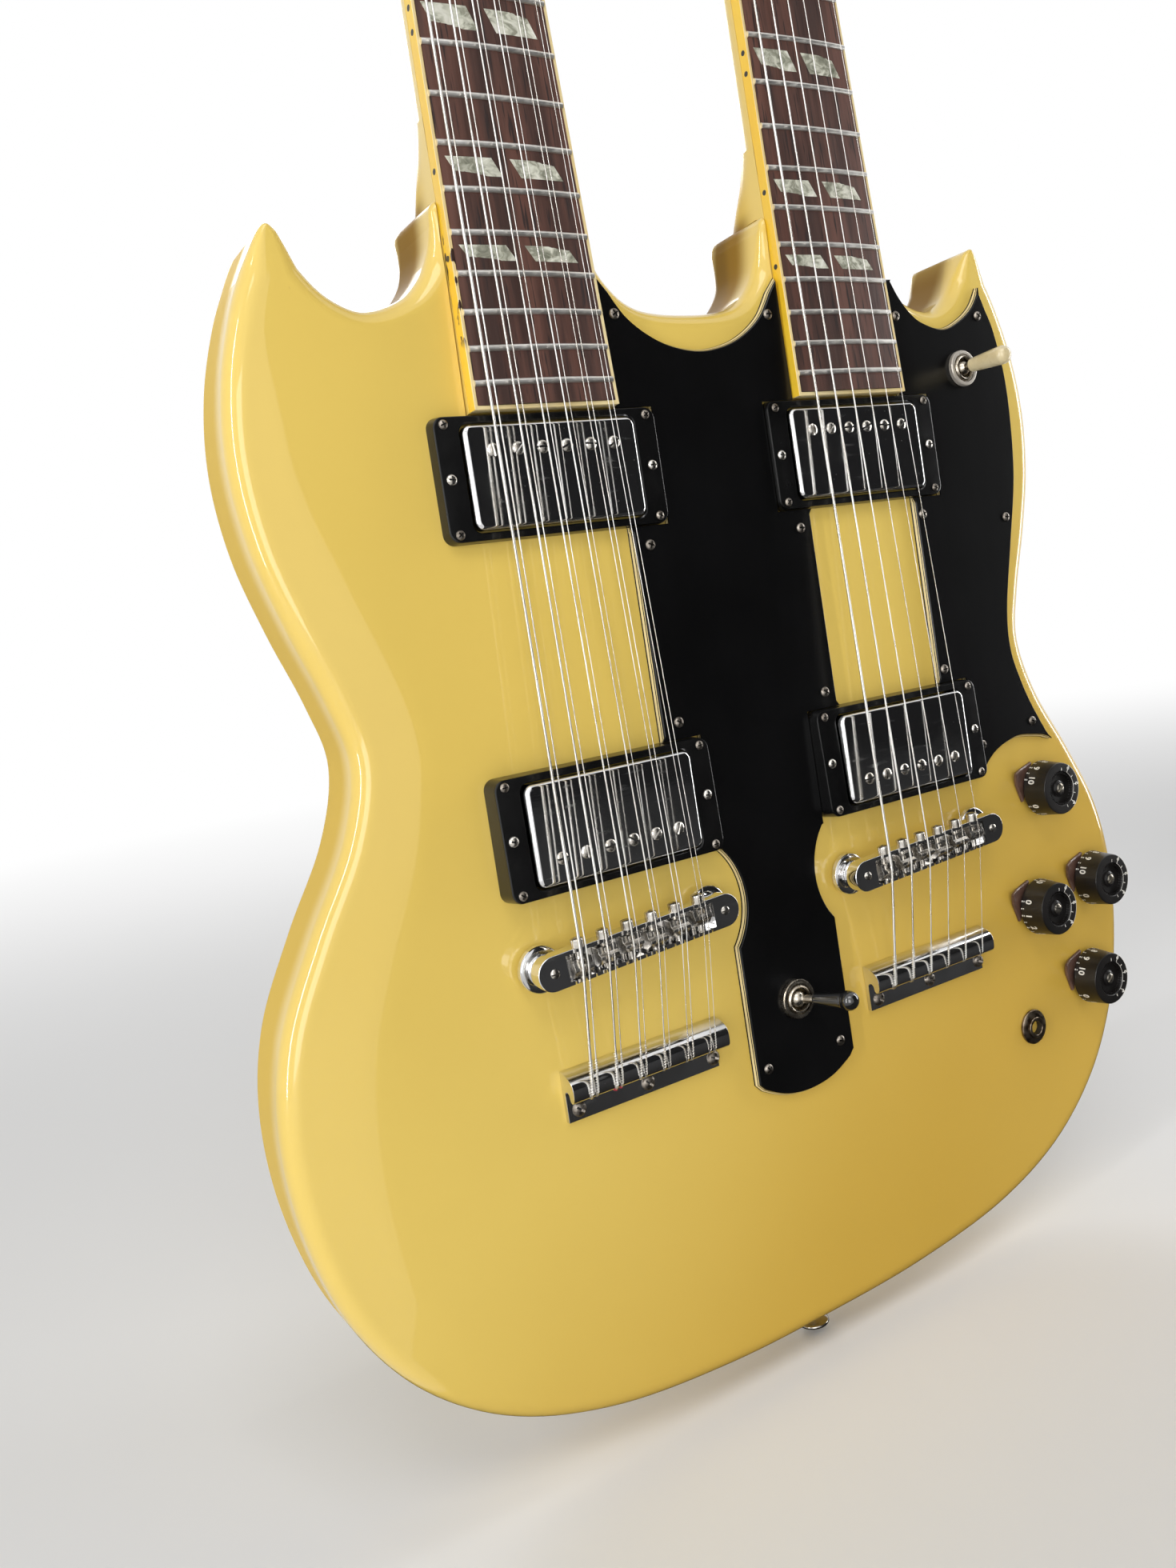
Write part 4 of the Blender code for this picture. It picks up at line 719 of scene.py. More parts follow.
def plain(name, dark, light, rough, metallic=0.0, coat=0.0, grain=60.0, relief=0.02):
    """A finish whose colour and gloss wander a little, with a fine relief."""
    material, place, plug = finish(name, metallic, coat)
    cloud = place.noise(grain, 4.0)
    plug("Base Color", cloud.above(0.5, 0.22).blend(rgb(*dark), rgb(*light)))
    plug("Roughness", rough[0] + (rough[1] - rough[0]) * place.noise(grain * 2.3, 3.0))
    plug("Normal", bump(place.noise(grain * 12.0, 2.0), relief))
    return material


def rosewood(name):
    """Oiled rosewood: brown-red, streaked dark along the neck, with open pores."""
    material, place, plug = finish(name)
    streak = place.noise(150.0, 4.0, (1.0, 1.0, 0.05), 0.6)
    pore = place.noise(900.0, 2.0, (1.0, 1.0, 0.05))
    colour = streak.above(0.5, 0.16).blend(rgb(0.040, 0.0150, 0.0100), rgb(0.115, 0.045, 0.030))
    colour = pore.above(0.62, 0.05).blend(colour, rgb(0.020, 0.008, 0.006))
    plug("Base Color", colour)
    plug("Roughness", 0.42 + 0.25 * pore)
    plug("Normal", bump(pore, 0.25, 0.0003))
    return material


def aged_plastic(name):
    """Cream binding plastic that has gone amber where the lacquer lies thick on its sides."""
    material, place, plug = finish(name, coat=0.5)
    cloud = place.noise(60.0, 3.0, (1.0, 1.0, 0.3)).above(0.5, 0.25)
    normal = Wire(material.node_tree).node("ShaderNodeNewGeometry", outlet="Normal").axis("X")
    side = normal.sum("ABSOLUTE", normal).above(0.75, 0.15)
    top = cloud.blend(rgb(0.78, 0.60, 0.27), rgb(0.84, 0.70, 0.38))
    wall = cloud.blend(rgb(0.86, 0.52, 0.018), rgb(0.90, 0.60, 0.045))
    rise = place.axis("Z")
    beside_body = rise.above(0.174, 0.003) - rise.above(0.211, 0.003)
    worn = beside_body * (1.0 - place.axis("X").above(-0.095, 0.001))
    chip = worn * place.noise(330.0, 2.0, (1.0, 1.0, 0.5)).above(0.585, 0.015)
    plug("Base Color", chip.blend(side.blend(top, wall), rgb(0.030, 0.012, 0.007)))
    plug("Roughness", 0.25 + 0.2 * place.noise(200.0))
    plug("Normal", bump(place.noise(500.0, 2.0), 0.05))
    return material


ROSEWOOD = rosewood("rosewood")
BINDING = aged_plastic("aged_binding")
NUT_PLASTIC = plain("nut_plastic", (0.66, 0.56, 0.36), (0.76, 0.66, 0.45), (0.3, 0.45), coat=0.2,
                    grain=120.0)
DOT = plain("side_dot", (0.008, 0.007, 0.006), (0.02, 0.018, 0.015), (0.3, 0.5))
board_edge = BOARD_THICK - (29.25 * MM) ** 2 / (2.0 * BOARD_RADIUS)
for key in NECK_SIDES:
    rings = []
    for rise in (-7.5 * MM, NUT_RISE - 0.05 * MM):
        half = board_half(rise) - 1.5 * MM
        arch = [half * (1.0 - k / 12.0) for k in range(25)]
        rings.append([(-half, 0.0, rise), (half, 0.0, rise)] + [(x, board_top(x), rise) for x in arch])
    board = loft(rings)
    board.transform(neck_place[key])
    piece("board_" + key, board, ROSEWOOD, ["fretboard_" + key])
    outer = [(-board_half(NUT_RISE), NUT_RISE - 0.05 * MM), (-board_half(-9.0 * MM), -9.0 * MM)]
    inner = [(-board_half(NUT_RISE) + 1.5 * MM, NUT_RISE - 0.05 * MM),
             (-board_half(-9.0 * MM) + 1.5 * MM, -7.5 * MM)]
    whole = outer + [(-x, z) for x, z in reversed(outer)] + [(-x, z) for x, z in inner] + inner[::-1]
    strip = eased(plate(whole, 0.0, -board_edge - 0.1 * MM), 0.35 * MM, 3, 60.0)
    strip.transform(neck_place[key])
    piece("edge_binding_" + key, strip, BINDING, ["binding_" + key])
    half = 21.5 * MM
    arch = [half * (1.0 - k / 8.0) for k in range(17)]
    rings = []
    for up, drop in ((0.0, 0.3), (0.2, 0.0), (3.4, 0.0), (5.0, 0.9)):
        rise = NUT_RISE + up * MM
        rings.append([(-half, -0.05 * MM, rise), (half, -0.05 * MM, rise)]
                     + [(x, board_top(x) - 1.6 * MM + drop * MM, rise) for x in arch])
    slots = []
    for x, _ in string_offsets(key):
        y = board_top(x) - 1.3 * MM
        slots.append(rod((x, y, NUT_RISE - 1.0 * MM), (x, y + 0.2 * MM, NUT_RISE + 6.0 * MM),
                         0.62 * MM, 12))
    nut = carved(loft(rings), slots)
    nut.transform(neck_place[key])
    piece("top_nut_" + key, nut, NUT_PLASTIC, ["nut_" + key], sharp=25.0)

# THE FRETS
# Twenty lengths of nickel wire with a half-round crown are pressed into the board between the
# bindings. Each one divides what is left of the string by the twelfth root of two.
FRETS = 20
SCALE_LENGTH = 628.65 * MM


def growth(name, inlets):
    """A geometry tree with named inlets, and a wire at its group input."""
    tree = bpy.data.node_groups.new(name, "GeometryNodeTree")
    tree.interface.new_socket("Geometry", in_out="INPUT", socket_type="NodeSocketGeometry")
    for label, kind in inlets.items():
        tree.interface.new_socket(label, in_out="INPUT", socket_type="NodeSocket" + kind)
    tree.interface.new_socket("Geometry", in_out="OUTPUT", socket_type="NodeSocketGeometry")
    return tree, Wire(tree).node("NodeGroupInput")


def close(result, material):
    """End a tree: its instances made real and its finish set."""
    solid = result.node("GeometryNodeRealizeInstances", (), {0: result})
    dressed = solid.node("GeometryNodeSetMaterial", (), {"Geometry": solid, "Material": material})
    dressed.node("NodeGroupOutput", (), {0: dressed})


def grow(tree, values, seed=None):
    """The plain mesh that a tree makes from a seed mesh with these values."""
    obj = bpy.data.objects.new("seed", seed or bpy.data.meshes.new("seed"))
    scene.collection.objects.link(obj)
    step = obj.modifiers.new("tree", "NODES")
    step.node_group = tree
    for item in tree.interface.items_tree:
        if item.in_out == "INPUT" and item.name in values:
            step[item.identifier] = values[item.name]
    made = bpy.data.meshes.new_from_object(obj.evaluated_get(bpy.context.evaluated_depsgraph_get()))
    bpy.data.objects.remove(obj, do_unlink=True)
    return made


FRET_WIRE = plain("fret_nickel", (0.70, 0.68, 0.64), (0.90, 0.88, 0.84), (0.30, 0.48), 1.0, grain=150.0)
tree, inlet = growth("frets", {"Frets": "Int", "Scale Length": "Float", "End Half Width": "Float",
                               "Taper": "Float", "Arch Radius": "Float", "Wire Radius": "Float",
                               "Crown Centre": "Float"})
line = inlet.node("GeometryNodeMeshLine", {"mode": "OFFSET"}, {"Count": inlet.outlet("Frets")})
number = inlet.node("GeometryNodeInputIndex")
length = inlet.outlet("Scale Length")
frets = inlet.outlet("Frets")
rise = (length * inlet.sum("POWER", 2.0, (number + 1.0) * (-1.0 / 12.0))
        - length * inlet.sum("POWER", 2.0, frets * (-1.0 / 12.0)))
spot = inlet.node("ShaderNodeCombineXYZ", (), {"Z": rise})
placed = inlet.node("GeometryNodeSetPosition", (), {"Geometry": line, "Position": spot})
wire = inlet.node("GeometryNodeCurvePrimitiveLine", (), {"Start": (-1.0, 0.0, 0.0),
                                                         "End": (1.0, 0.0, 0.0)})
wire = inlet.node("GeometryNodeResampleCurve", (), {"Curve": wire, "Count": 15})
wires = inlet.node("GeometryNodeInstanceOnPoints", (), {"Points": placed, "Instance": wire})
wires = inlet.node("GeometryNodeRealizeInstances", (), {0: wires})
here = inlet.node("GeometryNodeInputPosition")
half = inlet.outlet("End Half Width") - inlet.outlet("Taper") * here.axis("Z")
across = here.axis("X") * half
arch = across * across * inlet.sum("DIVIDE", 0.5, inlet.outlet("Arch Radius")) - inlet.outlet("Crown Centre")
bent = inlet.node("ShaderNodeCombineXYZ", (), {"X": across, "Y": arch, "Z": here.axis("Z")})
wires = inlet.node("GeometryNodeSetPosition", (), {"Geometry": wires, "Position": bent})
profile = inlet.node("GeometryNodeCurvePrimitiveCircle", (), {"Resolution": 12,
                                                              "Radius": inlet.outlet("Wire Radius")})
close(inlet.node("GeometryNodeCurveToMesh", (), {"Curve": wires, "Profile Curve": profile,
                                                 "Fill Caps": True}), FRET_WIRE)
for key in NECK_SIDES:
    frets = grow(tree, {"Frets": FRETS, "Scale Length": SCALE_LENGTH, "Taper": 7.6 / 439.65,
                        "End Half Width": board_half(0.0) - 1.35 * MM, "Arch Radius": BOARD_RADIUS,
                        "Wire Radius": 1.2 * MM, "Crown Centre": BOARD_THICK - 0.25 * MM})
    frets.transform(neck_place[key])
    piece("frets_" + key, frets, FRET_WIRE, slot="fretboard_" + key, sharp=50.0)

# THE INLAYS AND SIDE DOTS
# Pairs of slanted pearloid blocks are let into the board behind seven frets. Black dots in the
# binding mark the same frets on the side that the player sees.
def pearloid(name):
    """Pressed pearl plastic: drifting grey and white folds with a soft green cast."""
    material, place, plug = finish(name, coat=0.4)
    fold = place.noise(75.0, 2.0, (1.0, 1.0, 2.2))
    warped = place.node("ShaderNodeVectorMath", {"operation": "MULTIPLY_ADD"},
                        {0: fold.outlet("Color"), 1: (0.016, 0.016, 0.016), 2: place})
    leaf = warped.noise(170.0, 3.0, (1.0, 1.0, 0.45), 0.65)
    colour = leaf.node("ShaderNodeValToRGB", {"stops": (
        (0.30, rgb(0.16, 0.165, 0.12)), (0.45, rgb(0.38, 0.38, 0.30)),
        (0.55, rgb(0.66, 0.66, 0.55)), (0.70, rgb(0.84, 0.83, 0.74)))}, {0: leaf})
    plug("Base Color", colour)
    plug("Roughness", 0.16 + 0.25 * leaf)
    plug("Normal", bump(leaf, 0.12, 0.0004))
    return material


PEARL = pearloid("pearloid")


def fret_rise(number):
    return SCALE_LENGTH * (2.0 ** (-number / 12.0) - 2.0 ** (-FRETS / 12.0))


def gathered(meshes, place=Matrix.Identity(4)):
    """Several meshes as one, set at a place."""
    bm = bmesh.new()
    for mesh in meshes:
        bm.from_mesh(mesh)
    made = mesh_of("gathered", bm)
    made.transform(place)
    return made


for key in NECK_SIDES:
    blocks = []
    dots = []
    for number in (3, 5, 7, 9, 12, 15, 17):
        low = fret_rise(number)
        space = fret_rise(number - 1) - low
        middle = low + space / 2.0
        tall = 0.6 * space - 3.0 * MM
        inner = 2.0 * board_half(middle) - 3.0 * MM
        for first in (-0.43 * inner, 0.035 * inner):
            rings = []
            for k in range(7):
                x = first + 0.328 * inner * k / 6.0
                foot = (x + 1.75 * MM, board_top(x), middle - tall / 2.0)
                top = (x - 1.75 * MM, board_top(x), middle + tall / 2.0)
                rings.append([(a, b + depth, c) for (a, b, c), depth in (
                    (foot, 1.0 * MM), (foot, -0.06 * MM), (top, -0.06 * MM), (top, 1.0 * MM))])
            blocks.append(loft(rings))
        for level in ((-4.15 * MM, 4.15 * MM) if number == 12 else (0.0,)):
            spot = middle - 1.2 * MM + level
            side = -board_half(spot)
            dots.append(rod((side + 0.5 * MM, -2.5 * MM, spot), (side - 0.06 * MM, -2.5 * MM, spot),
                            1.05 * MM, 24))
    piece("inlays_" + key, gathered(blocks, neck_place[key]), PEARL, slot="fretboard_" + key)
    piece("side_dots_" + key, gathered(dots, neck_place[key]), DOT, slot="binding_" + key)

# THE PICKUPS
# A black moulded ring is screwed to the face at its corners, and a chromed cover stands up through
# it on two height screws. One row of slotted pole screws comes through each cover.
COVER_WIDTH = 69.5 * MM
COVER_LENGTH = 36.0 * MM
PICKUP_HEIGHTS = (("neck", 4.4, 0.0, 6.0), ("bridge", 7.8, 1.4, 10.0))


def pole_places(centre, label):
    """Where a pickup's six pole screws stand: towards its neck, or away from it on the other."""
    row = PICKUP_Z[label] + (9.0 * MM if label == "neck" else -9.0 * MM)
    return [(centre + (i - 2.5) * 9.84 * MM, row) for i in range(6)]


def rounded_rect(width, length, corner, centre=(0.0, 0.0), steps=8):
    points = []
    for sx, sz, start in ((1, 1, 0.0), (-1, 1, 90.0), (-1, -1, 180.0), (1, -1, 270.0)):
        for k in range(steps + 1):
            angle = math.radians(start + 90.0 * k / steps)
            points.append((centre[0] + sx * (width / 2.0 - corner) + corner * math.cos(angle),
                           centre[1] + sz * (length / 2.0 - corner) + corner * math.sin(angle)))
    return points


RING_BLACK = plain("ring_black", (0.0018, 0.0018, 0.0019), (0.005, 0.005, 0.005), (0.16, 0.32),
                   coat=0.15, grain=40.0)


def chrome_plate(name, dark=0.52, light=0.80, rough=0.045):
    """Bright chrome with a breath of haze, fine scratches and a few pits."""
    material, place, plug = finish(name, metallic=1.0)
    haze = place.noise(55.0, 3.0).above(0.55, 0.2)
    pit = place.noise(700.0, 2.0).above(0.77, 0.02)
    bright = haze.blend(rgb(light, light, light * 1.01), rgb(dark * 1.25, dark * 1.24, dark * 1.22))
    plug("Base Color", pit.blend(bright, rgb(dark * 0.5, dark * 0.47, dark * 0.43)))
    scratch = place.noise(500.0, 2.0, (0.15, 1.0, 1.0))
    plug("Roughness", rough + 0.10 * haze + 0.12 * scratch.above(0.68, 0.05) + 0.3 * pit)
    plug("Normal", bump(scratch, 0.03, 0.0002))
    return material


CHROME = chrome_plate("cover_chrome")
for key, side in NECK_SIDES.items():
    for label, height, rise, cover_height in PICKUP_HEIGHTS:
        centre = side * NECK_X
        middle = PICKUP_Z[label]
        outer = rounded_rect(RING_WIDTH, RING_LENGTH, 4.0 * MM, (centre, middle))
        inner = rounded_rect(COVER_WIDTH + 1.2 * MM, COVER_LENGTH + 1.2 * MM, 3.2 * MM,
                             (centre, middle))

        def top_y(z):
            return FACE - height * MM - rise * MM * (middle - z) / RING_LENGTH

        def squeezed(share_x, share_z):
            return [(centre + (x - centre) * share_x, middle + (z - middle) * share_z) for x, z in outer]

        base_y = FACE - 0.05 * MM
        rings = [[(x, base_y, z) for x, z in outer],
                 [(x, top_y(z) + 0.8 * MM, z) for x, z in squeezed(0.988, 0.983)],
                 [(x, top_y(z) + 0.22 * MM, z) for x, z in squeezed(0.984, 0.975)],
                 [(x, top_y(z), z) for x, z in squeezed(0.972, 0.95)],
                 [(x, top_y(z), z) for x, z in inset(inner, -0.5 * MM)],
                 [(x, top_y(z) + 0.5 * MM, z) for x, z in inner],
                 [(x, base_y, z) for x, z in inner]]
        piece("ring_%s_%s" % (label, key), loft(rings, looped=True), RING_BLACK,
              ["pickup_ring_%s_%s" % (label, key)], sharp=32.0)
        outline = rounded_rect(COVER_WIDTH, COVER_LENGTH, 3.2 * MM, (centre, middle))
        crest = FACE - cover_height * MM
        rings = [[(x, FACE + 6.0 * MM, z) for x, z in outline]]
        for k in range(7):
            angle = math.radians(15.0 * k)
            rings.append([(x, crest + 1.5 * MM * (1.0 - math.sin(angle)), z)
                          for x, z in inset(outline, 1.5 * MM * (1.0 - math.cos(angle)))])
        rings.append([(x, crest, z) for x, z in inset(outline, 2.2 * MM)])
        wells = [rod((x, crest - 1.0 * MM, z), (x, crest + 1.2 * MM, z), 2.75 * MM, 28)
                 for x, z in pole_places(centre, label)]
        piece("cover_%s_%s" % (label, key), carved(loft(rings), wells), CHROME,
              ["pickup_cover_%s_%s" % (label, key)], sharp=35.0)

# THE SCREWS
# Small domed cross-head screws hold the pickguards, the rings and the tailpieces. Brighter ones set
# each pickup's height, and slotted ones stand in its poles. No two are turned to one angle.
def lathe(profile, place, steps=48, looped=False):
    """Turn (radius, height) points about a place's own Z; a radius of 0 makes a single point."""
    bm = bmesh.new()
    loops = []
    for radius, height in profile:
        if radius < 1e-7:
            loops.append([bm.verts.new((0.0, 0.0, height))])
        else:
            loops.append([bm.verts.new((radius * math.cos(2.0 * math.pi * k / steps),
                                        radius * math.sin(2.0 * math.pi * k / steps), height))
                          for k in range(steps)])
    pairs = list(zip(loops, loops[1:]))
    if looped:
        pairs.append((loops[-1], loops[0]))
    for near, far in pairs:
        for k in range(steps):
            j = (k + 1) % steps
            corners = [near[k % len(near)], near[j % len(near)], far[j % len(far)], far[k % len(far)]]
            kept = [corner for i, corner in enumerate(corners) if corner not in corners[:i]]
            if len(kept) > 2:
                bm.faces.new(kept)
    bm.transform(place)
    return mesh_of("lathe", bm)


def turned(profile, place, steps=48, looped=False):
    """Turn a profile whose radii and heights are in millimetres."""
    return lathe([(radius * MM, height * MM) for radius, height in profile], place, steps, looped)


def screw_head(slots, width, depth, dome):
    """A head one unit in radius with a cross or a single slot in its dome."""
    round_top = [(math.sin(math.radians(a)), dome * math.cos(math.radians(a))) for a in range(0, 91, 15)]
    head = lathe([(0.0, dome)] + round_top[1:] + [(1.0, -0.25), (0.0, -0.25)], Matrix.Identity(4), 24)
    bars = [block((-1.5 if slots == 1 else -0.66, -width / 2.0, dome - depth),
                  (1.5 if slots == 1 else 0.66, width / 2.0, dome + 1.0),
                  Matrix.Rotation(math.radians(90.0 * k), 4, "Z")) for k in range(slots)]
    return carved(head, bars)


DULL_SCREW = plain("dull_screw", (0.10, 0.085, 0.07), (0.42, 0.38, 0.33), (0.28, 0.5), 1.0, grain=420.0)
BRIGHT_SCREW = plain("bright_screw", (0.42, 0.39, 0.34), (0.74, 0.71, 0.66), (0.14, 0.34), 1.0,
                     grain=300.0)
trees = {}
for finish_key, material in (("dull", DULL_SCREW), ("bright", BRIGHT_SCREW)):
    tree, inlet = growth("screws_" + finish_key, {"Head": "Object", "Radius": "Float", "Seed": "Int",
                                                  "Spin": "Float"})
    spots = inlet.node("GeometryNodeMeshToPoints", (), {"Mesh": inlet})
    spin = inlet.node("FunctionNodeRandomValue", {"data_type": "FLOAT"},
                      {2: 0.0, 3: inlet.outlet("Spin"), 8: inlet.outlet("Seed")}, 1)
    faced = inlet.node("ShaderNodeCombineXYZ", (), {"X": math.radians(90.0), "Y": spin})
    head = inlet.node("GeometryNodeObjectInfo", (), {"Object": inlet.outlet("Head")}, "Geometry")
    made = inlet.node("GeometryNodeInstanceOnPoints", (), {
        "Points": spots, "Instance": head, "Rotation": faced, "Scale": inlet.outlet("Radius")})
    close(made, material)
    trees[finish_key] = (tree, material)


def points_mesh(spots):
    mesh = bpy.data.meshes.new("spots")
    mesh.from_pydata(spots, [], [])
    return mesh


def screws(name, spots, finish_key, head, radius, seed, slot, place=Matrix.Identity(4)):
    """Set screw heads on these spots of a place, facing its own front."""
    tool = bpy.data.objects.new("head", head)
    tree, material = trees[finish_key]
    values = {"Head": tool, "Radius": radius, "Seed": seed, "Spin": 6.28}
    made = grow(tree, values, points_mesh(spots))
    bpy.data.objects.remove(tool, do_unlink=True)
    made.transform(place)
    return piece(name, made, material, slot=slot, sharp=30.0)


CROSS = screw_head(2, 0.30, 0.62, 0.55)
SLOTTED = screw_head(1, 0.32, 0.60, 0.35)
GUARD_SCREWS = {
    "centre": ((-36.8, 184.7), (35.5, 184.4), (-36.2, 99.7), (36.7, 99.5), (-35.5, 33.1), (37.0, 33.2),
               (19.0, -105.3), (-18.2, -105.4)),
    "treble": ((105.1, 99.4), (105.1, 32.4), (122.0, -3.6), (156.4, 93.9), (155.4, 183.6),
               (105.3, 183.7), (155.6, 1.4)),
}
for name, spots in GUARD_SCREWS.items():
    screws("guard_screws_" + name, [(x * MM, GUARD_TOP, z * MM) for x, z in spots], "dull", CROSS,
           2.1 * MM, len(name), slot="pickguard_" + name)
for key, side in NECK_SIDES.items():
    corners = []
    heights = []
    poles = []
    for label, height, rise, cover_height in PICKUP_HEIGHTS:
        for x in (-40.95, 40.95):
            for z in (-18.65, 18.65, 0.0):
                y = FACE - (height - rise * z / 43.5) * MM
                spot = (side * NECK_X + x * MM, y + 0.1 * MM, PICKUP_Z[label] + z * MM)
                (heights if z == 0.0 else corners).append(spot)
        poles += [(x, FACE - (cover_height + 0.1) * MM, z)
                  for x, z in pole_places(side * NECK_X, label)]
    screws("ring_screws_" + key, corners, "dull", CROSS, 1.75 * MM, 3, slot="pickup_ring_neck_" + key)
    screws("height_screws_" + key, heights, "bright", CROSS, 2.0 * MM, 5, slot="pickup_ring_neck_" + key)
    screws("pole_screws_" + key, poles, "bright", SLOTTED, 2.35 * MM, 8, slot="pickup_cover_neck_" + key)

# THE BRIDGES
# A chromed bar with rounded ends lies on two threaded studs, each with a knurled wheel that sets its
# height. Six nickel saddles stand in a channel down its middle, each on its own long screw.
bridge_place = {key: Matrix.Translation((side * NECK_X, FACE, BRIDGE_Z))
                @ Matrix.Rotation(math.radians(-2.9), 4, "Y") for key, side in NECK_SIDES.items()}
BAR_CHROME = chrome_plate("bar_chrome", 0.50, 0.82, 0.05)
SADDLE_NICKEL = plain("saddle_nickel", (0.46, 0.43, 0.38), (0.78, 0.75, 0.70), (0.16, 0.34), 1.0,
                      grain=260.0)
SOCKET_DARK = plain("socket_dark", (0.012, 0.010, 0.009), (0.035, 0.030, 0.026), (0.3, 0.5),
                    grain=300.0)


def saddle_height(x):
    return 17.6 * MM - x * x / (2.0 * BOARD_RADIUS)


def knurled(stations, teeth, place):
    """A rim with fine teeth, through stations of radius, tooth depth and height in millimetres."""
    rings = []
    for radius, tooth, height in stations:
        reaches = [radius * MM - (tooth * MM if k % 2 else 0.0) for k in range(2 * teeth)]
        rings.append([(reach * math.cos(math.pi * k / teeth), reach * math.sin(math.pi * k / teeth),
                       height * MM) for k, reach in enumerate(reaches)])
    made = loft(rings)
    made.transform(place)
    return made


for key in NECK_SIDES:
    place = bridge_place[key]
    outline = rounded_rect(86.0 * MM, 12.2 * MM, 6.0 * MM, steps=14)
    bar = eased(plate(outline, -8.4 * MM, -14.2 * MM), 0.35 * MM)
    holes = [block((-31.5 * MM, -15.0 * MM, -4.6 * MM), (31.5 * MM, -10.6 * MM, 4.6 * MM))]
    holes += [block((x - 0.3 * MM, -15.0 * MM, -6.5 * MM), (x + 0.3 * MM, -11.0 * MM, -4.0 * MM))
              for x in np.arange(-29.4, 30.0, 4.2) * MM]
    holes += [rod((x, -15.0 * MM, 0.0), (x, -13.2 * MM, 0.0), 2.3 * MM) for x in (-STUD, STUD)]
    bar = carved(bar, holes)
    bar.transform(place)
    piece("bridge_bar_" + key, bar, BAR_CHROME, ["bridge_" + key], sharp=32.0)
    wheels = []
    posts = []
    for x in (-STUD, STUD):
        out = Matrix.Translation((x, 0.0, 0.0)) @ OUT
        wheels.append(knurled([(8.0, 0.05, 2.2), (8.3, 0.14, 2.45), (8.3, 0.14, 4.2), (8.05, 0.05, 4.5)],
                              72, out))
        wheels.append(turned([(0.0, 4.9), (6.4, 4.9), (7.5, 4.75), (7.95, 4.45), (7.95, 4.2), (0.0, 4.2)],
                             out, 72))
        wheels.append(turned([(0.0, 8.5), (4.6, 8.5), (4.6, 5.9), (4.9, 5.2), (5.5, 4.85), (0.0, 4.7)],
                             out, 56))
        wheels.append(turned([(0.0, 2.4), (2.2, 2.4), (2.2, 0.1), (0.0, 0.1)], out))
        post = turned([(0.0, 15.0), (1.0, 14.95), (1.6, 14.6), (1.75, 14.1), (1.75, 12.8), (0.0, 12.8)],
                      out, 32)
        groove = block((-2.0 * MM, -0.25 * MM, 14.5 * MM), (2.0 * MM, 0.25 * MM, 16.0 * MM), out)
        posts.append(carved(post, [groove]))
    piece("bridge_wheels_" + key, gathered(wheels, place), BAR_CHROME, slot="bridge_" + key, sharp=32.0)
    piece("bridge_posts_" + key, gathered(posts, place), BRIGHT_SCREW, slot="bridge_" + key, sharp=35.0)
    saddles = []
    sockets = []
    stems = []
    for course in range(6):
        x = (course / 5.0 - 0.5) * SADDLE_SPREAD
        shift = (-0.9, 0.3, 1.1, -0.5, 0.4, 1.2)[course] * MM
        crest = saddle_height(abs(x) + 3.8 * MM) - 0.55 * MM
        section = [(-3.3 * MM, 10.8 * MM), (-3.3 * MM, 13.6 * MM), (-0.9 * MM, crest), (0.2 * MM, crest),
                   (0.9 * MM, 15.2 * MM), (3.2 * MM, 14.9 * MM), (3.2 * MM, 10.8 * MM)]
        rings = [[(x + wide, -h, z + shift) for z, h in section] for wide in (-3.8 * MM, 3.8 * MM)]
        notch_y = -crest - 0.35 * MM
        notches = [rod((x + aside, notch_y, -9.0 * MM), (x + aside, notch_y, 9.0 * MM), 0.65 * MM, 12)
                   for aside in ((0.0,) if key == "six" else (-1.1 * MM, 1.1 * MM))]
        wide = 2.4 * MM if key == "six" else 1.3 * MM
        notches.append(block((x - wide, -18.0 * MM, shift + 1.0 * MM),
                             (x + wide, -12.2 * MM, shift + 2.6 * MM)))
        saddles.append(carved(eased(loft(rings), 0.18 * MM, 2), notches))
        sockets.append(block((x - wide + 0.05 * MM, -12.9 * MM, shift + 1.05 * MM),
                             (x + wide - 0.05 * MM, -12.1 * MM, shift + 2.55 * MM)))
        head = screw_head(1, 0.28, 0.55, 0.30)
        head.transform(Matrix.Translation((x, -13.6 * MM, 8.9 * MM))
                       @ Matrix.Rotation(math.radians(23.0 + 61.0 * course), 4, "Z")
                       @ Matrix.Scale(2.3 * MM, 4))
        stems += [rod((x, -12.7 * MM, -5.0 * MM), (x, -12.7 * MM, 6.6 * MM), 1.05 * MM, 16), head,
                  rod((x, -13.6 * MM, 6.1 * MM), (x, -13.6 * MM, 8.9 * MM), 2.3 * MM, 28)]
    piece("saddles_" + key, gathered(saddles, place), SADDLE_NICKEL, slot="bridge_" + key, sharp=30.0)
    piece("saddle_sockets_" + key, gathered(sockets, place), SOCKET_DARK, slot="bridge_" + key)
    piece("saddle_screws_" + key, gathered(stems, place), BRIGHT_SCREW, slot="bridge_" + key, sharp=35.0)

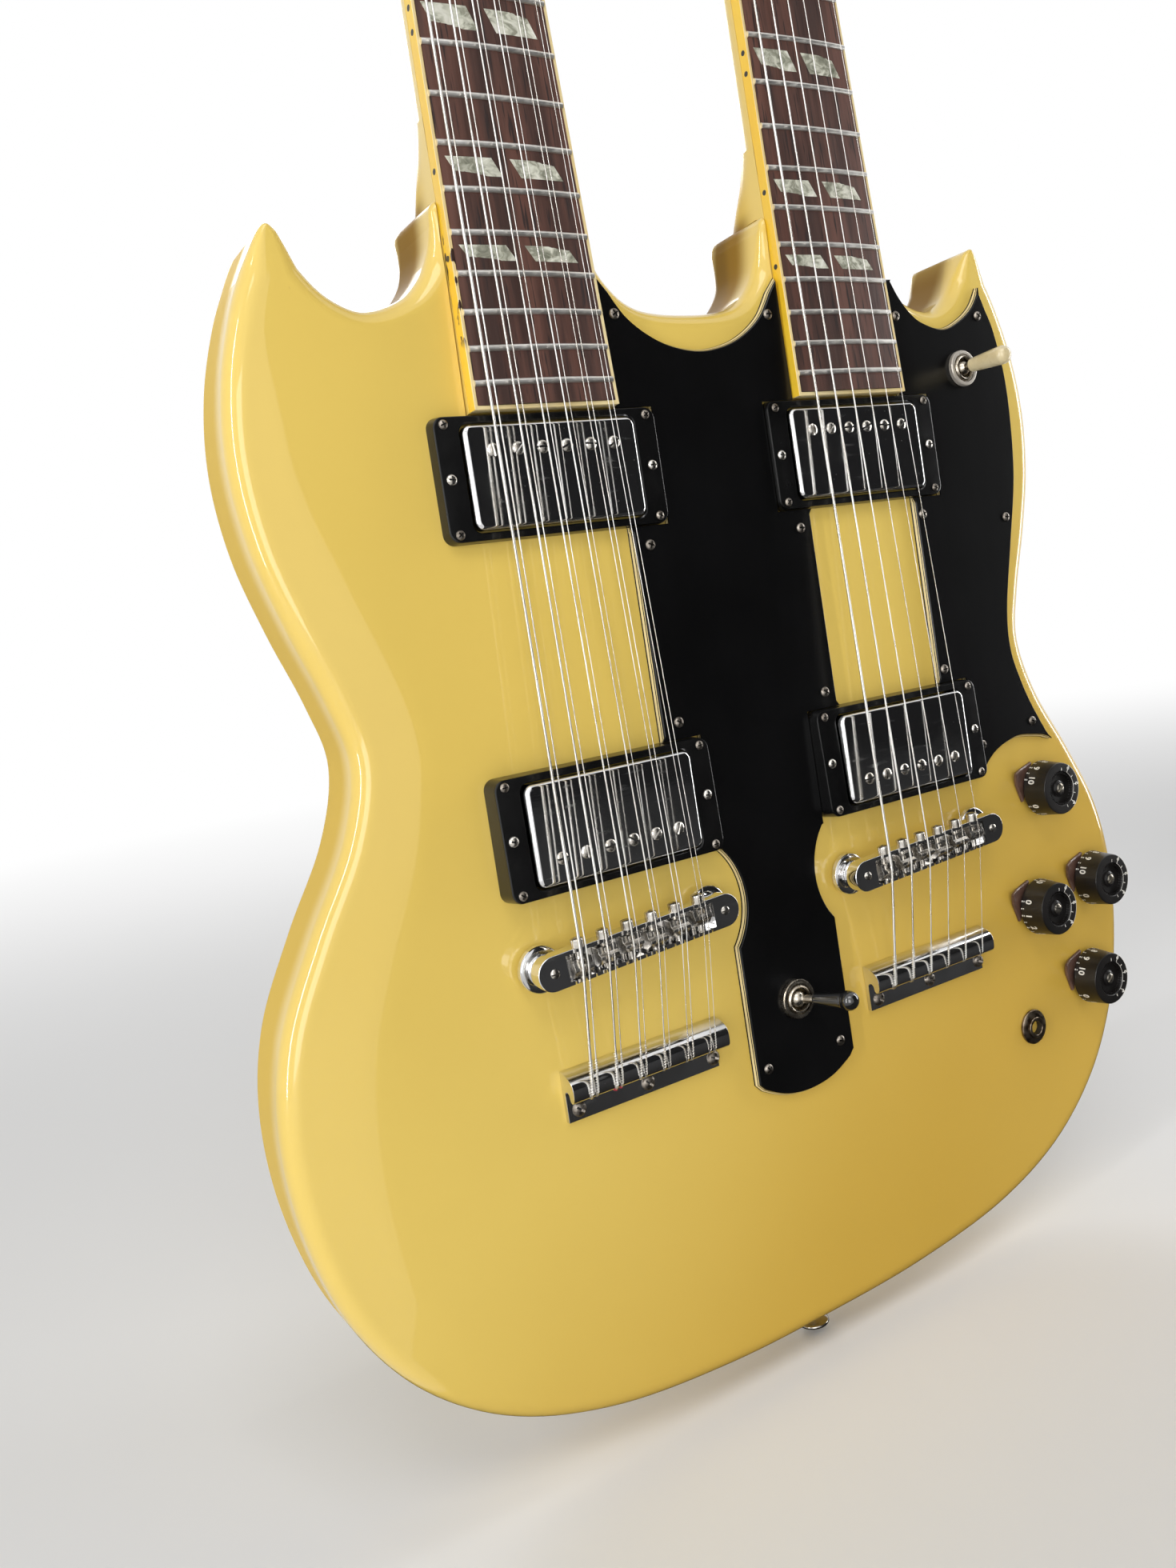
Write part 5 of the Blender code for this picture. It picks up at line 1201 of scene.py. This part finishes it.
# THE TAILPIECES
# One piece of chromed plate, folded up and over into a rounded nose that catches the string ends.
# Its foot is held to the body by three screws, and the nose is slotted for each string.
TAIL_Z = {"twelve": -97.3 * MM, "six": -99.1 * MM}
TAIL_FOLD = (
    (18.4, 1.2), (17.8, 3.4), (16.5, 6.2), (14.9, 7.9), (12.8, 8.5), (9.9, 8.4), (8.5, 7.6), (8.05, 6.5),
    (8.5, 5.6), (9.6, 5.25), (10.9, 4.9), (11.6, 3.7), (10.9, 2.4), (9.5, 2.1),
)
TAIL_CHROME = chrome_plate("tail_chrome", 0.48, 0.80, 0.06)
for key, side in NECK_SIDES.items():
    centre = side * NECK_X
    section = [(0.0, 0.05), (18.4, 0.05)] + smooth(TAIL_FOLD, 4) + [TAIL_FOLD[-1], (0.0, 2.1)]
    rings = [[(centre + x, FACE - h * MM, TAIL_Z[key] + z * MM) for z, h in section]
             for x in (-34.0 * MM, 34.0 * MM)]
    hook = eased(loft(rings), 0.25 * MM, 2, 60.0)
    cuts = [block((centre + 31.8 * MM, FACE - 5.0 * MM, TAIL_Z[key] - 1.0 * MM),
                  (centre + 35.0 * MM, FACE + 1.0 * MM, TAIL_Z[key] + 15.5 * MM))]
    for _, x in string_offsets(key):
        cuts.append(block((centre + x - 0.62 * MM, FACE - 9.5 * MM, TAIL_Z[key] + 7.0 * MM),
                          (centre + x + 0.62 * MM, FACE - 4.2 * MM, TAIL_Z[key] + 8.7 * MM)))
    piece("tail_hook_" + key, carved(hook, cuts), TAIL_CHROME, ["tailpiece_" + key], sharp=32.0)
    screws("tail_screws_" + key, [(centre + x * MM, FACE - 2.1 * MM, TAIL_Z[key] + 3.9 * MM)
                                   for x in (-29.3, 0.0, 29.6)],
           "dull", CROSS, 2.8 * MM, 11, slot="tailpiece_" + key)

# THE STRINGS
# Plain and wound steel strings run from a ball end under the nose of the tailpiece, over saddle and
# nut, to three turns round a post. The last millimetres by the ball are twisted on themselves.
GAUGES = {"six": (1.07, 0.81, 0.61, 0.43, 0.33, 0.25),
          "twelve": (1.07, 0.56, 0.81, 0.43, 0.61, 0.33, 0.51, 0.25, 0.33, 0.33, 0.25, 0.25)}
STRING_LEAD = (
    (9.9, 3.6), (8.9, 4.2), (8.35, 5.2), (8.15, 6.4), (8.35, 7.6), (8.9, 8.5), (9.8, 9.05), (10.8, 9.3),
)


def string_steel(name):
    """Nickel-wound steel, dulled in patches, with the winding as fine ridges across the string."""
    material, place, plug = finish(name, metallic=1.0)
    patch = place.noise(90.0, 3.0, (1.0, 1.0, 0.3)).above(0.5, 0.2)
    plug("Base Color", patch.blend(rgb(0.56, 0.53, 0.48), rgb(0.86, 0.85, 0.82)))
    ridge = place.sum("SINE", place.axis("Z") * (2.0 * math.pi / (0.45 * MM)))
    plug("Roughness", 0.22 + 0.14 * patch)
    plug("Normal", bump(ridge, 0.35, 0.00006))
    return material


STRING_STEEL = string_steel("string_steel")
SILK = plain("ball_silk", (0.30, 0.012, 0.03), (0.52, 0.03, 0.07), (0.6, 0.8), grain=900.0, relief=0.2)
string_tree, inlet = growth("strings", {"Sides": "Int"})
runs = inlet.node("GeometryNodeMeshToCurve", (), {"Mesh": inlet})
thick = inlet.node("GeometryNodeInputNamedAttribute", {"data_type": "FLOAT"}, {"Name": "thickness"})
circle = inlet.node("GeometryNodeCurvePrimitiveCircle", (), {"Resolution": inlet.outlet("Sides"),
                                                             "Radius": 1.0})
close(inlet.node("GeometryNodeCurveToMesh", (), {"Curve": runs, "Profile Curve": circle, "Scale": thick,
                                                 "Fill Caps": True}), STRING_STEEL)


def drawn_runs(runs):
    """A seed mesh of polylines, each with its own thickness."""
    points = []
    edges = []
    thickness = []
    for run, radius in runs:
        first = len(points)
        points += [tuple(point) for point in run]
        edges += [(first + i, first + i + 1) for i in range(len(run) - 1)]
        thickness += [radius] * len(run)
    mesh = bpy.data.meshes.new("runs")
    mesh.from_pydata(points, edges, [])
    mesh.attributes.new("thickness", "FLOAT", "POINT").data.foreach_set("value", thickness)
    return mesh


def helix(start, along, radius, pitch, length, steps):
    """A wire wound about a line."""
    along = along.normalized()
    side = along.cross(Vector((1.0, 0.0, 0.0))).normalized()
    up = along.cross(side)
    count = int(length / pitch * steps)
    return [start + along * (length * k / count)
            + (side * math.cos(2.0 * math.pi * k / steps) + up * math.sin(2.0 * math.pi * k / steps)) * radius
            for k in range(count + 1)]


for key, side in NECK_SIDES.items():
    strands = []
    twists = []
    balls = []
    silks = []
    count = POSTS[key]
    for index, (at_nut, at_saddle) in enumerate(string_offsets(key)):
        gauge = GAUGES[key][index] * MM / 2.0
        x = side * NECK_X + at_saddle
        lead = [Vector((x, FACE - h * MM, TAIL_Z[key] + z * MM)) for z, h in STRING_LEAD]
        saddle = bridge_place[key] @ Vector((at_saddle, -saddle_height(at_saddle), 0.0))
        nut = neck_place[key] @ Vector((at_nut, board_top(at_nut) - 1.35 * MM, NUT_RISE))
        behind = neck_place[key] @ Vector((at_nut, board_top(at_nut) - 1.1 * MM, NUT_RISE + 5.0 * MM))
        first = index < count
        order = index if first else 2 * count - 1 - index
        lean = -1.0 if first else 1.0
        middle = Vector((lean * POST_OFFSET, 0.0, FIRST_POST + order * PITCH[key]))
        coil = []
        reach = 3.0 * MM + gauge
        for k in range(55):
            angle = math.radians(180.0 if lean > 0.0 else 0.0) + lean * math.radians(20.0 * k)
            coil.append(head_place[key] @ (middle + Vector((
                reach * math.cos(angle), -7.5 * MM + 2.0 * gauge * k / 18.0, -reach * math.sin(angle)))))
        strands.append((lead + [saddle, nut, behind] + coil, gauge))
        twist = helix(lead[-2], saddle - lead[-1], gauge + 0.13 * MM, 1.0 * MM, (13.0 - 0.35 * index) * MM, 8)
        twists.append((twist, min(gauge, 0.2 * MM)))
        balls.append(rod((x - 1.2 * MM, FACE - 3.7 * MM, TAIL_Z[key] + 9.9 * MM),
                         (x + 1.2 * MM, FACE - 3.7 * MM, TAIL_Z[key] + 9.9 * MM), 1.5 * MM, 20))
        if key == "twelve" and index in (2, 3):
            silks += [rod(low, high, gauge + 0.35 * MM, 12) for low, high in (lead[2:4], lead[3:5])]
    piece("string_set_" + key, grow(string_tree, {"Sides": 10}, drawn_runs(strands)), STRING_STEEL,
          ["strings_" + key], sharp=60.0)
    piece("string_twists_" + key, grow(string_tree, {"Sides": 6}, drawn_runs(twists)), STRING_STEEL,
          slot="strings_" + key, sharp=60.0)
    piece("string_balls_" + key, gathered(balls), BRIGHT_SCREW, slot="strings_" + key)
    if silks:
        piece("string_silk_" + key, gathered(silks), SILK, slot="strings_" + key)

# THE KNOBS
# Four turned knobs of dark brown clear plastic push on to their shafts. White ticks and the numbers
# 0 to 10 run round the foot of each, and their far side shows through the top as larger marks. Two
# white arcs on the right of each top, round the recess and along the rim, are painted highlights. A
# brown pointer on the face marks the setting.
KNOBS = {
    "knob_volume_twelve": (156.3, -29.6, 212.0), "knob_volume_six": (182.0, -77.1, 209.0),
    "knob_tone_twelve": (144.2, -81.5, 156.0), "knob_tone_six": (172.5, -121.1, 213.0),
}
KNOB_PROFILE = (
    (0.0, 9.0), (6.9, 9.0), (7.2, 9.2), (7.5, 10.5), (7.8, 10.8), (10.8, 10.8), (11.25, 10.68),
    (11.45, 10.35), (12.3, 1.3), (12.38, 1.0), (12.4, 0.85), (12.4, 0.1), (12.2, 0.0), (3.2, 0.0),
    (3.2, 7.8), (0.0, 7.8),
)


def knob_brown(name):
    """Nearly black clear plastic, browner towards the foot."""
    material, place, plug = finish(name, coat=0.3, specular=0.3)
    low = place.axis("Y").above(FACE - 6.0 * MM, 5.0 * MM)
    cloud = place.noise(120.0, 3.0).above(0.5, 0.3)
    dark = cloud.blend(rgb(0.0045, 0.0040, 0.0038), rgb(0.010, 0.008, 0.007))
    brown = cloud.blend(rgb(0.008, 0.006, 0.005), rgb(0.016, 0.011, 0.008))
    plug("Base Color", low.blend(dark, brown))
    plug("Roughness", 0.34 + 0.18 * place.noise(400.0))
    plug("Normal", bump(place.noise(180.0, 2.0), 0.04))
    return material


KNOB_BROWN = knob_brown("knob_brown")
WHITE_PRINT_AND_HIGHLIGHT = plain("white_print_and_highlight", (0.62, 0.60, 0.54), (0.84, 0.82, 0.76), (0.35, 0.5), grain=300.0)
SHAFT_METAL = plain("shaft_metal", (0.30, 0.27, 0.22), (0.60, 0.56, 0.48), (0.2, 0.4), 1.0, grain=300.0)
POINTER = plain("pointer_brown", (0.085, 0.042, 0.030), (0.15, 0.080, 0.058), (0.35, 0.5), coat=0.3,
                grain=220.0, relief=0.1)


def knob_radius(height):
    return 12.3 * MM - 0.0911 * (height - 1.3 * MM)


def printed(text, size):
    """A label as a thin mesh centred on its own origin."""
    curve = bpy.data.curves.new("label", "FONT")
    curve.body = text
    curve.size = size
    curve.align_x = "CENTER"
    curve.align_y = "CENTER"
    curve.extrude = 0.02 * MM
    curve.offset = 0.12 * MM
    curve.resolution_u = 3
    obj = bpy.data.objects.new("label", curve)
    scene.collection.objects.link(obj)
    made = bpy.data.meshes.new_from_object(obj.evaluated_get(bpy.context.evaluated_depsgraph_get()))
    bpy.data.objects.remove(obj, do_unlink=True)
    return made


def around(angle):
    return Matrix.Rotation(math.radians(angle), 4, "Z")


for name, (x, z, zero) in KNOBS.items():
    out = Matrix.Translation((x * MM, FACE - 2.5 * MM, z * MM)) @ OUT
    barrel = turned(KNOB_PROFILE, out, 72)
    piece(name + "_barrel", barrel, KNOB_BROWN, [name], body=name, sharp=32.0)
    ribs = [block((6.6 * MM, -0.2 * MM, 8.9 * MM), (7.35 * MM, 0.2 * MM, 10.4 * MM), out @ around(9.0 * k))
            for k in range(40)]
    ribs.append(turned([(0.0, 9.9), (2.6, 9.9), (3.6, 9.3), (3.6, 8.9), (0.0, 8.9)], out, 32))
    piece(name + "_recess", gathered(ribs), KNOB_BROWN, body=name, slot=name, sharp=30.0)
    end = turned([(0.0, 10.5), (1.7, 10.45), (2.2, 10.1), (2.2, 9.7), (0.0, 9.7)], out, 32)
    groove = block((-2.5 * MM, -0.3 * MM, 10.1 * MM), (2.5 * MM, 0.3 * MM, 12.0 * MM), out @ around(zero))
    piece(name + "_shaft_end", carved(end, [groove]), SHAFT_METAL, body=name, slot=name)
    marks_and_highlights = []
    for k in range(21):
        turn = around(zero + 15.0 * k)
        wide = 0.26 * MM if k % 2 else 0.32 * MM
        marks_and_highlights.append(block((12.1 * MM, -wide, 0.2 * MM), (12.44 * MM, wide, 0.9 * MM), out @ turn))
        marks_and_highlights.append(block((12.0 * MM, -wide, 0.9 * MM),
                           (knob_radius(1.6 * MM) + 0.05 * MM, wide, 1.6 * MM), out @ turn))
        if k % 2 == 0:
            label = printed(str(k // 2), 4.0 * MM)
            for vert in label.vertices:
                height = 3.6 * MM + vert.co.y
                angle = math.radians(zero + 15.0 * k) + vert.co.x / (12.1 * MM)
                radius = knob_radius(height) + 0.03 * MM + vert.co.z
                vert.co = (radius * math.cos(angle), radius * math.sin(angle), height)
            label.transform(out)
            marks_and_highlights.append(label)
    for k in range(-3, 4):
        turn = out @ around(3.0 + 26.0 * k)
        marks_and_highlights.append(block((7.95 * MM, -0.15 * MM, 10.7 * MM), (9.2 * MM, 0.15 * MM, 10.83 * MM), turn))
        if k % 2 == 0:
            label = printed(str(5 + k // 2), 2.9 * MM)
            label.transform(turn @ Matrix.Translation((10.2 * MM, 0.0, 10.8 * MM)) @ around(-90.0)
                            @ Matrix.Scale(-1.0, 4, (1.0, 0.0, 0.0)))
            marks_and_highlights.append(label)
    # Painted highlights: two white arcs on the right of the top, one round the recess and one along the rim,
    # drawn in the print's white and not turned with the dial.
    for k in range(-9, 10):
        turn = out @ around(6.0 * k)
        marks_and_highlights.append(block((7.74 * MM, -0.42 * MM, 10.7 * MM), (7.84 * MM, 0.42 * MM, 10.85 * MM), turn))
        marks_and_highlights.append(block((11.22 * MM, -0.62 * MM, 10.5 * MM), (11.36 * MM, 0.62 * MM, 10.72 * MM), turn))
    piece(name + "_marks", gathered(marks_and_highlights), WHITE_PRINT_AND_HIGHLIGHT, body=name, slot=name, sharp=60.0)
    hand = [(9.0, -9.5), (15.5, -3.6), (19.6, -0.9), (20.2, 0.0), (19.6, 0.9), (15.5, 3.6), (9.0, 9.5)]
    rings = []
    for height, shrink in ((0.1, 0.0), (1.0, 0.0), (1.4, 0.5)):
        ring = []
        for r, s in hand:
            lift = max(0.0, r - 14.5) * 0.55
            ring.append(((r - shrink * 0.6) * MM, s * (1.0 - 0.12 * shrink) * MM, (height + lift) * MM))
        rings.append(ring)
    hand = loft(rings)
    hand.transform(Matrix.Translation((x * MM, FACE, z * MM)) @ OUT @ around(152.0))
    piece(name + "_pointer", hand, POINTER, slot="control_pots", sharp=30.0)
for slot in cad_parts["control_pots"].material_slots:
    slot.material = SHAFT_METAL

# THE SWITCHES
# Two three-way switches stand up through the pickguards, each with a knurled nut round its bush. The
# lower one has a black tip and leans to the right, and the one in the horn has a cream tip.
BLACK_TIP = plain("tip_black", (0.006, 0.006, 0.006), (0.012, 0.012, 0.012), (0.08, 0.2), coat=1.0)
CREAM_TIP = plain("tip_cream", (0.66, 0.54, 0.30), (0.78, 0.68, 0.44), (0.2, 0.35), coat=0.6, grain=90.0)
SWITCH_NICKEL = plain("switch_nickel", (0.26, 0.22, 0.17), (0.66, 0.61, 0.52), (0.16, 0.36), 1.0,
                      grain=240.0)
SWITCH_WASHER = plain("switch_washer", (0.46, 0.42, 0.36), (0.60, 0.56, 0.50), (0.3, 0.45), 0.5,
                      grain=200.0)
for key, (x, z) in TOGGLE_PLACES.items():
    out = Matrix.Translation((x, GUARD_TOP, z)) @ OUT
    teeth = knurled([(7.6, 0.12, 0.0), (7.8, 0.16, 0.25), (7.8, 0.16, 1.7), (7.5, 0.05, 2.1),
                     (7.1, 0.0, 2.2)], 60, out)
    well = turned([(0.0, 3.0), (6.3, 3.0), (6.1, 1.3), (4.6, 1.1), (4.6, -1.0), (0.0, -1.0)], out, 56)
    piece("switch_nut_" + key, carved(teeth, [well]), SWITCH_NICKEL if key == "tail" else SWITCH_WASHER,
          ["toggle_switch_" + key], sharp=30.0)
    bush = [(4.1, -6.0), (5.95, -6.0), (5.95, 0.9), (5.5, 2.0), (5.3, 2.5), (4.95, 2.75), (4.6, 2.6),
            (4.35, 2.1), (4.1, 1.0)]
    piece("switch_bush_" + key, turned(bush, out, 56, looped=True), SWITCH_NICKEL,
          slot="toggle_switch_" + key, sharp=35.0)
    lean = Matrix.Rotation(math.radians(25.0 if key == "tail" else 0.0), 4, "Z")
    out = Matrix.Translation((x, GUARD_TOP, z)) @ lean @ OUT
    ball = [(0.0, -5.0), (1.4, -5.0), (1.4, -3.2)]
    ball += [(3.6 * math.cos(math.radians(a)), 3.6 * math.sin(math.radians(a))) for a in range(-60, 61, 10)]
    ball += [(1.6, 3.5), (1.6, 9.0), (0.0, 9.0)]
    piece("switch_ball_" + key, turned(ball, out, 32), SWITCH_NICKEL, body="toggle_lever_" + key,
          slot="toggle_switch_" + key, sharp=35.0)
    if key == "tail":
        tip = [(0.0, 7.4), (1.9, 7.4), (2.2, 7.6), (2.35, 8.2), (3.05, 18.6), (2.95, 19.0)]
        tip += [(3.9 * math.cos(math.radians(a)), 22.05 + 3.9 * math.sin(math.radians(a)))
                for a in range(-40, 86, 9)]
    else:
        tip = [(0.0, 6.0), (2.5, 6.0), (2.8, 6.2), (2.95, 6.8), (3.95, 21.6)]
        tip += [(0.95 + 3.0 * math.cos(math.radians(a)), 22.6 + 3.3 * math.sin(math.radians(a)))
                for a in range(0, 86, 9)]
    tip.append((0.0, 25.95))
    piece("switch_tip_" + key, turned(tip, out, 40), BLACK_TIP if key == "tail" else CREAM_TIP,
          ["toggle_lever_" + key], body="toggle_lever_" + key, sharp=45.0)

# THE OUTPUT SOCKET
# A threaded tube comes up through the lower corner of the face, held by a thick nickel washer that
# has gone brown. The cable's plug goes down its bore.
WORN_NICKEL = plain("worn_nickel", (0.075, 0.050, 0.030), (0.34, 0.28, 0.21), (0.22, 0.45), 1.0, grain=330.0,
                    relief=0.08)
x, z = JACK_PLACE
out = Matrix.Translation((x, FACE, z)) @ OUT
washer = [(4.75, 0.05), (7.35, 0.05), (7.6, 0.3), (7.6, 1.1), (7.3, 1.5), (6.2, 1.9), (5.4, 2.0), (4.75, 1.9)]
piece("socket_washer", turned(washer, out, 56, looped=True), WORN_NICKEL, slot="output_jack", sharp=35.0)
tube = [(3.25, 2.6), (3.45, 2.85), (4.4, 2.85), (4.65, 2.6), (4.65, -19.5), (3.25, -19.5)]
piece("socket_tube", turned(tube, out, looped=True), WORN_NICKEL, ["output_jack"], sharp=35.0)
lining = [(0.0, -19.4), (3.35, -19.4), (3.35, 2.5), (3.05, 2.5), (3.05, -18.4), (0.0, -18.4)]
piece("socket_lining", turned(lining, out, 40), DOT, slot="output_jack")

# THE TUNING MACHINES
# Strips of nickel-plated brass are screwed to the back of each headstock, with a stamped gear case
# for every string. A post with its string stands out at the front, and an oval button at the side.
TUNER_NICKEL = plain("tuner_nickel", (0.34, 0.32, 0.28), (0.74, 0.71, 0.65), (0.12, 0.32), 1.0, grain=120.0)
BUTTON_NICKEL = plain("button_nickel", (0.46, 0.44, 0.40), (0.80, 0.78, 0.73), (0.10, 0.24), 1.0, grain=80.0)
WORM_Y = 20.5 * MM
BUTTON_SHAPE = (
    (0.0, 0.40, 0.60), (0.07, 0.62, 0.76), (0.2, 0.86, 0.90), (0.4, 0.98, 1.0), (0.6, 0.99, 1.0),
    (0.78, 0.91, 0.93), (0.92, 0.72, 0.72), (1.0, 0.45, 0.42),
)
POST_PROFILE = (
    (0.0, -15.3), (2.9, -15.3), (3.0, 2.8), (3.0, 5.4), (2.75, 6.2), (2.62, 7.5), (2.75, 8.9),
    (3.0, 9.5), (3.0, 10.6), (2.7, 11.0), (1.2, 11.0), (0.9, 10.6), (0.0, 10.5),
)
BUSH_PROFILE = (
    (3.25, -6.0), (3.35, 0.0), (5.0, 0.02), (5.2, 0.35), (5.0, 0.9), (4.2, 1.5), (3.4, 1.7), (3.15, 1.5),
)


def tuner_button(side):
    """An oval button with a waist at its shaft, growing from its own origin along X."""
    rings = []
    for along, width, thick in smooth(BUTTON_SHAPE, 3) + [(1.0, 0.40, 0.36)]:
        ring = []
        for k in range(28):
            angle = 2.0 * math.pi * k / 28.0
            flat = abs(math.sin(angle)) ** 0.85
            ring.append((side * along * 12.0 * MM, math.copysign(3.25 * MM * thick * flat, math.sin(angle)),
                         7.5 * MM * width * math.cos(angle)))
        rings.append(ring)
    return loft(rings)


for key in NECK_SIDES:
    place = head_place[key]
    low = FIRST_POST - 10.0 * MM
    high = FIRST_POST + (POSTS[key] - 1) * PITCH[key] + 10.0 * MM
    spots = []
    for side, label in ((-1.0, "low"), (1.0, "high")):
        x = side * POST_OFFSET
        outline = rounded_rect(17.0 * MM, high - low, 2.5 * MM, (x, (low + high) / 2.0))
        cases = [eased(plate(outline, 14.8 * MM, 16.0 * MM), 0.3 * MM, 2)]
        posts = []
        bushes = []
        for i in range(POSTS[key]):
            z = FIRST_POST + i * PITCH[key]
            case = eased(block((x - 6.5 * MM, 15.4 * MM, z - 7.0 * MM),
                               (x + 6.5 * MM, 25.0 * MM, z + 7.0 * MM)), 2.2 * MM, 5)
            bore = rod((x, WORM_Y, z), (x + side * 7.5 * MM, WORM_Y, z), 2.1 * MM, 24)
            cases.append(carved(case, [bore]))
            spin = Matrix.Translation((x, 0.0, z)) @ OUT
            eye = rod((x - 4.0 * MM, -7.5 * MM, z), (x + 4.0 * MM, -7.5 * MM, z), 0.8 * MM, 16)
            posts.append(carved(turned(POST_PROFILE, spin, 32), [eye]))
            bushes.append(turned(BUSH_PROFILE, spin, 36, looped=True))
            spots.append((-x, 0.0, z - 8.7 * MM if i else low + 1.8 * MM))
            name = "tuner_button_%s_%s_%d" % (label, key, i + 1)
            shaft = rod((side * -12.0 * MM, 0.0, 0.0), (side * 1.0 * MM, 0.0, 0.0), 1.8 * MM, 20)
            button = gathered([tuner_button(side), shaft])
            button.transform(place @ Matrix.Translation((side * 43.0 * MM, WORM_Y, z)))
            piece(name + "_fine", button, BUTTON_NICKEL, [name], body=name, sharp=50.0)
        node = "tuner_plate_%s_%s" % (label, key)
        piece(node + "_fine", gathered(cases + posts, place), TUNER_NICKEL, [node], sharp=32.0)
        piece("tuner_bushes_%s_%s" % (label, key), gathered(bushes, place), TUNER_NICKEL, slot=node,
              sharp=32.0)
    back = place @ Matrix.Translation((0.0, 16.05 * MM, 0.0)) @ Matrix.Rotation(math.pi, 4, "Z")
    screws("tuner_screws_" + key, spots, "bright", CROSS, 1.5 * MM, 21, slot="tuner_plate_low_" + key,
           place=back)

# THE TRUSS ROD COVERS
# A small black plate on each headstock, just above the nut, covers the end of the rod that keeps
# the neck straight. Three screws hold it.
COVER_SIDE = ((7.5, 5.0), (10.5, 6.2), (11.6, 10.0), (10.4, 18.0), (8.6, 26.0), (5.0, 33.0), (0.0, 35.5))
for key in NECK_SIDES:
    right = metres(smooth(COVER_SIDE, 5, after=(-5.0, 33.0)) + [COVER_SIDE[-1]])
    cover = eased(plate(right + mirrored(right[:-1]), -1.7 * MM, 0.05 * MM), 0.35 * MM, 2)
    cover.transform(head_place[key])
    piece("truss_cover_" + key, cover, RING_BLACK, slot="neck_" + key, sharp=35.0)
    spots = [(x * MM, -1.75 * MM, z * MM) for x, z in ((-7.6, 8.6), (7.6, 8.6), (0.0, 31.5))]
    screws("truss_screws_" + key, spots, "dull", CROSS, 1.5 * MM, 31, slot="neck_" + key,
           place=head_place[key])

# THE BACK
# A black sheet plate let into the back covers the control cavity, under seven screws. Two metal
# buttons hold a strap, one on the back between the necks and one under the body.
cover = eased(plate(inset(control, -3.5 * MM), -2.4 * MM, 0.0), 0.4 * MM, 3)
piece("back_plate", cover, RING_BLACK, ["control_cover"], sharp=30.0)
line = inset(control, -1.0 * MM)
spots = [(-x, 0.0, z) for x, z in line[::len(line) // 7][:7]]
screws("back_screws", spots, "dull", CROSS, 2.1 * MM, 41, slot="control_cover",
       place=Matrix.Rotation(math.pi, 4, "Z"))
STRAP_NICKEL = plain("strap_nickel", (0.36, 0.33, 0.29), (0.70, 0.67, 0.61), (0.14, 0.34), 1.0,
                     grain=150.0)
STRAP_PROFILE = (
    (0.0, 10.0), (3.0, 9.95), (5.3, 9.7), (6.3, 9.2), (6.5, 8.6), (6.2, 8.0), (5.0, 7.2), (3.7, 6.0),
    (3.2, 4.2), (3.6, 2.4), (5.2, 1.2), (6.1, 0.7), (6.15, 0.3),
)
under = Matrix.Translation((0.0, FACE / 2.0, -213.5 * MM)) @ Matrix.Rotation(math.pi, 4, "X")
rear = Matrix.Translation((0.0, 0.0, 148.0 * MM)) @ Matrix.Rotation(math.radians(-90.0), 4, "X")
for name, place in (("tail", under), ("back", rear)):
    button = turned(smooth(STRAP_PROFILE, 3) + [STRAP_PROFILE[-1], (0.0, 0.3)], place)
    cross = [block((-2.6 * MM, -0.45 * MM, 9.0 * MM), (2.6 * MM, 0.45 * MM, 11.0 * MM), place),
             block((-0.45 * MM, -2.6 * MM, 9.0 * MM), (0.45 * MM, 2.6 * MM, 11.0 * MM), place)]
    piece("strap_button_%s_fine" % name, carved(button, cross), STRAP_NICKEL, ["strap_button_" + name],
          sharp=35.0)
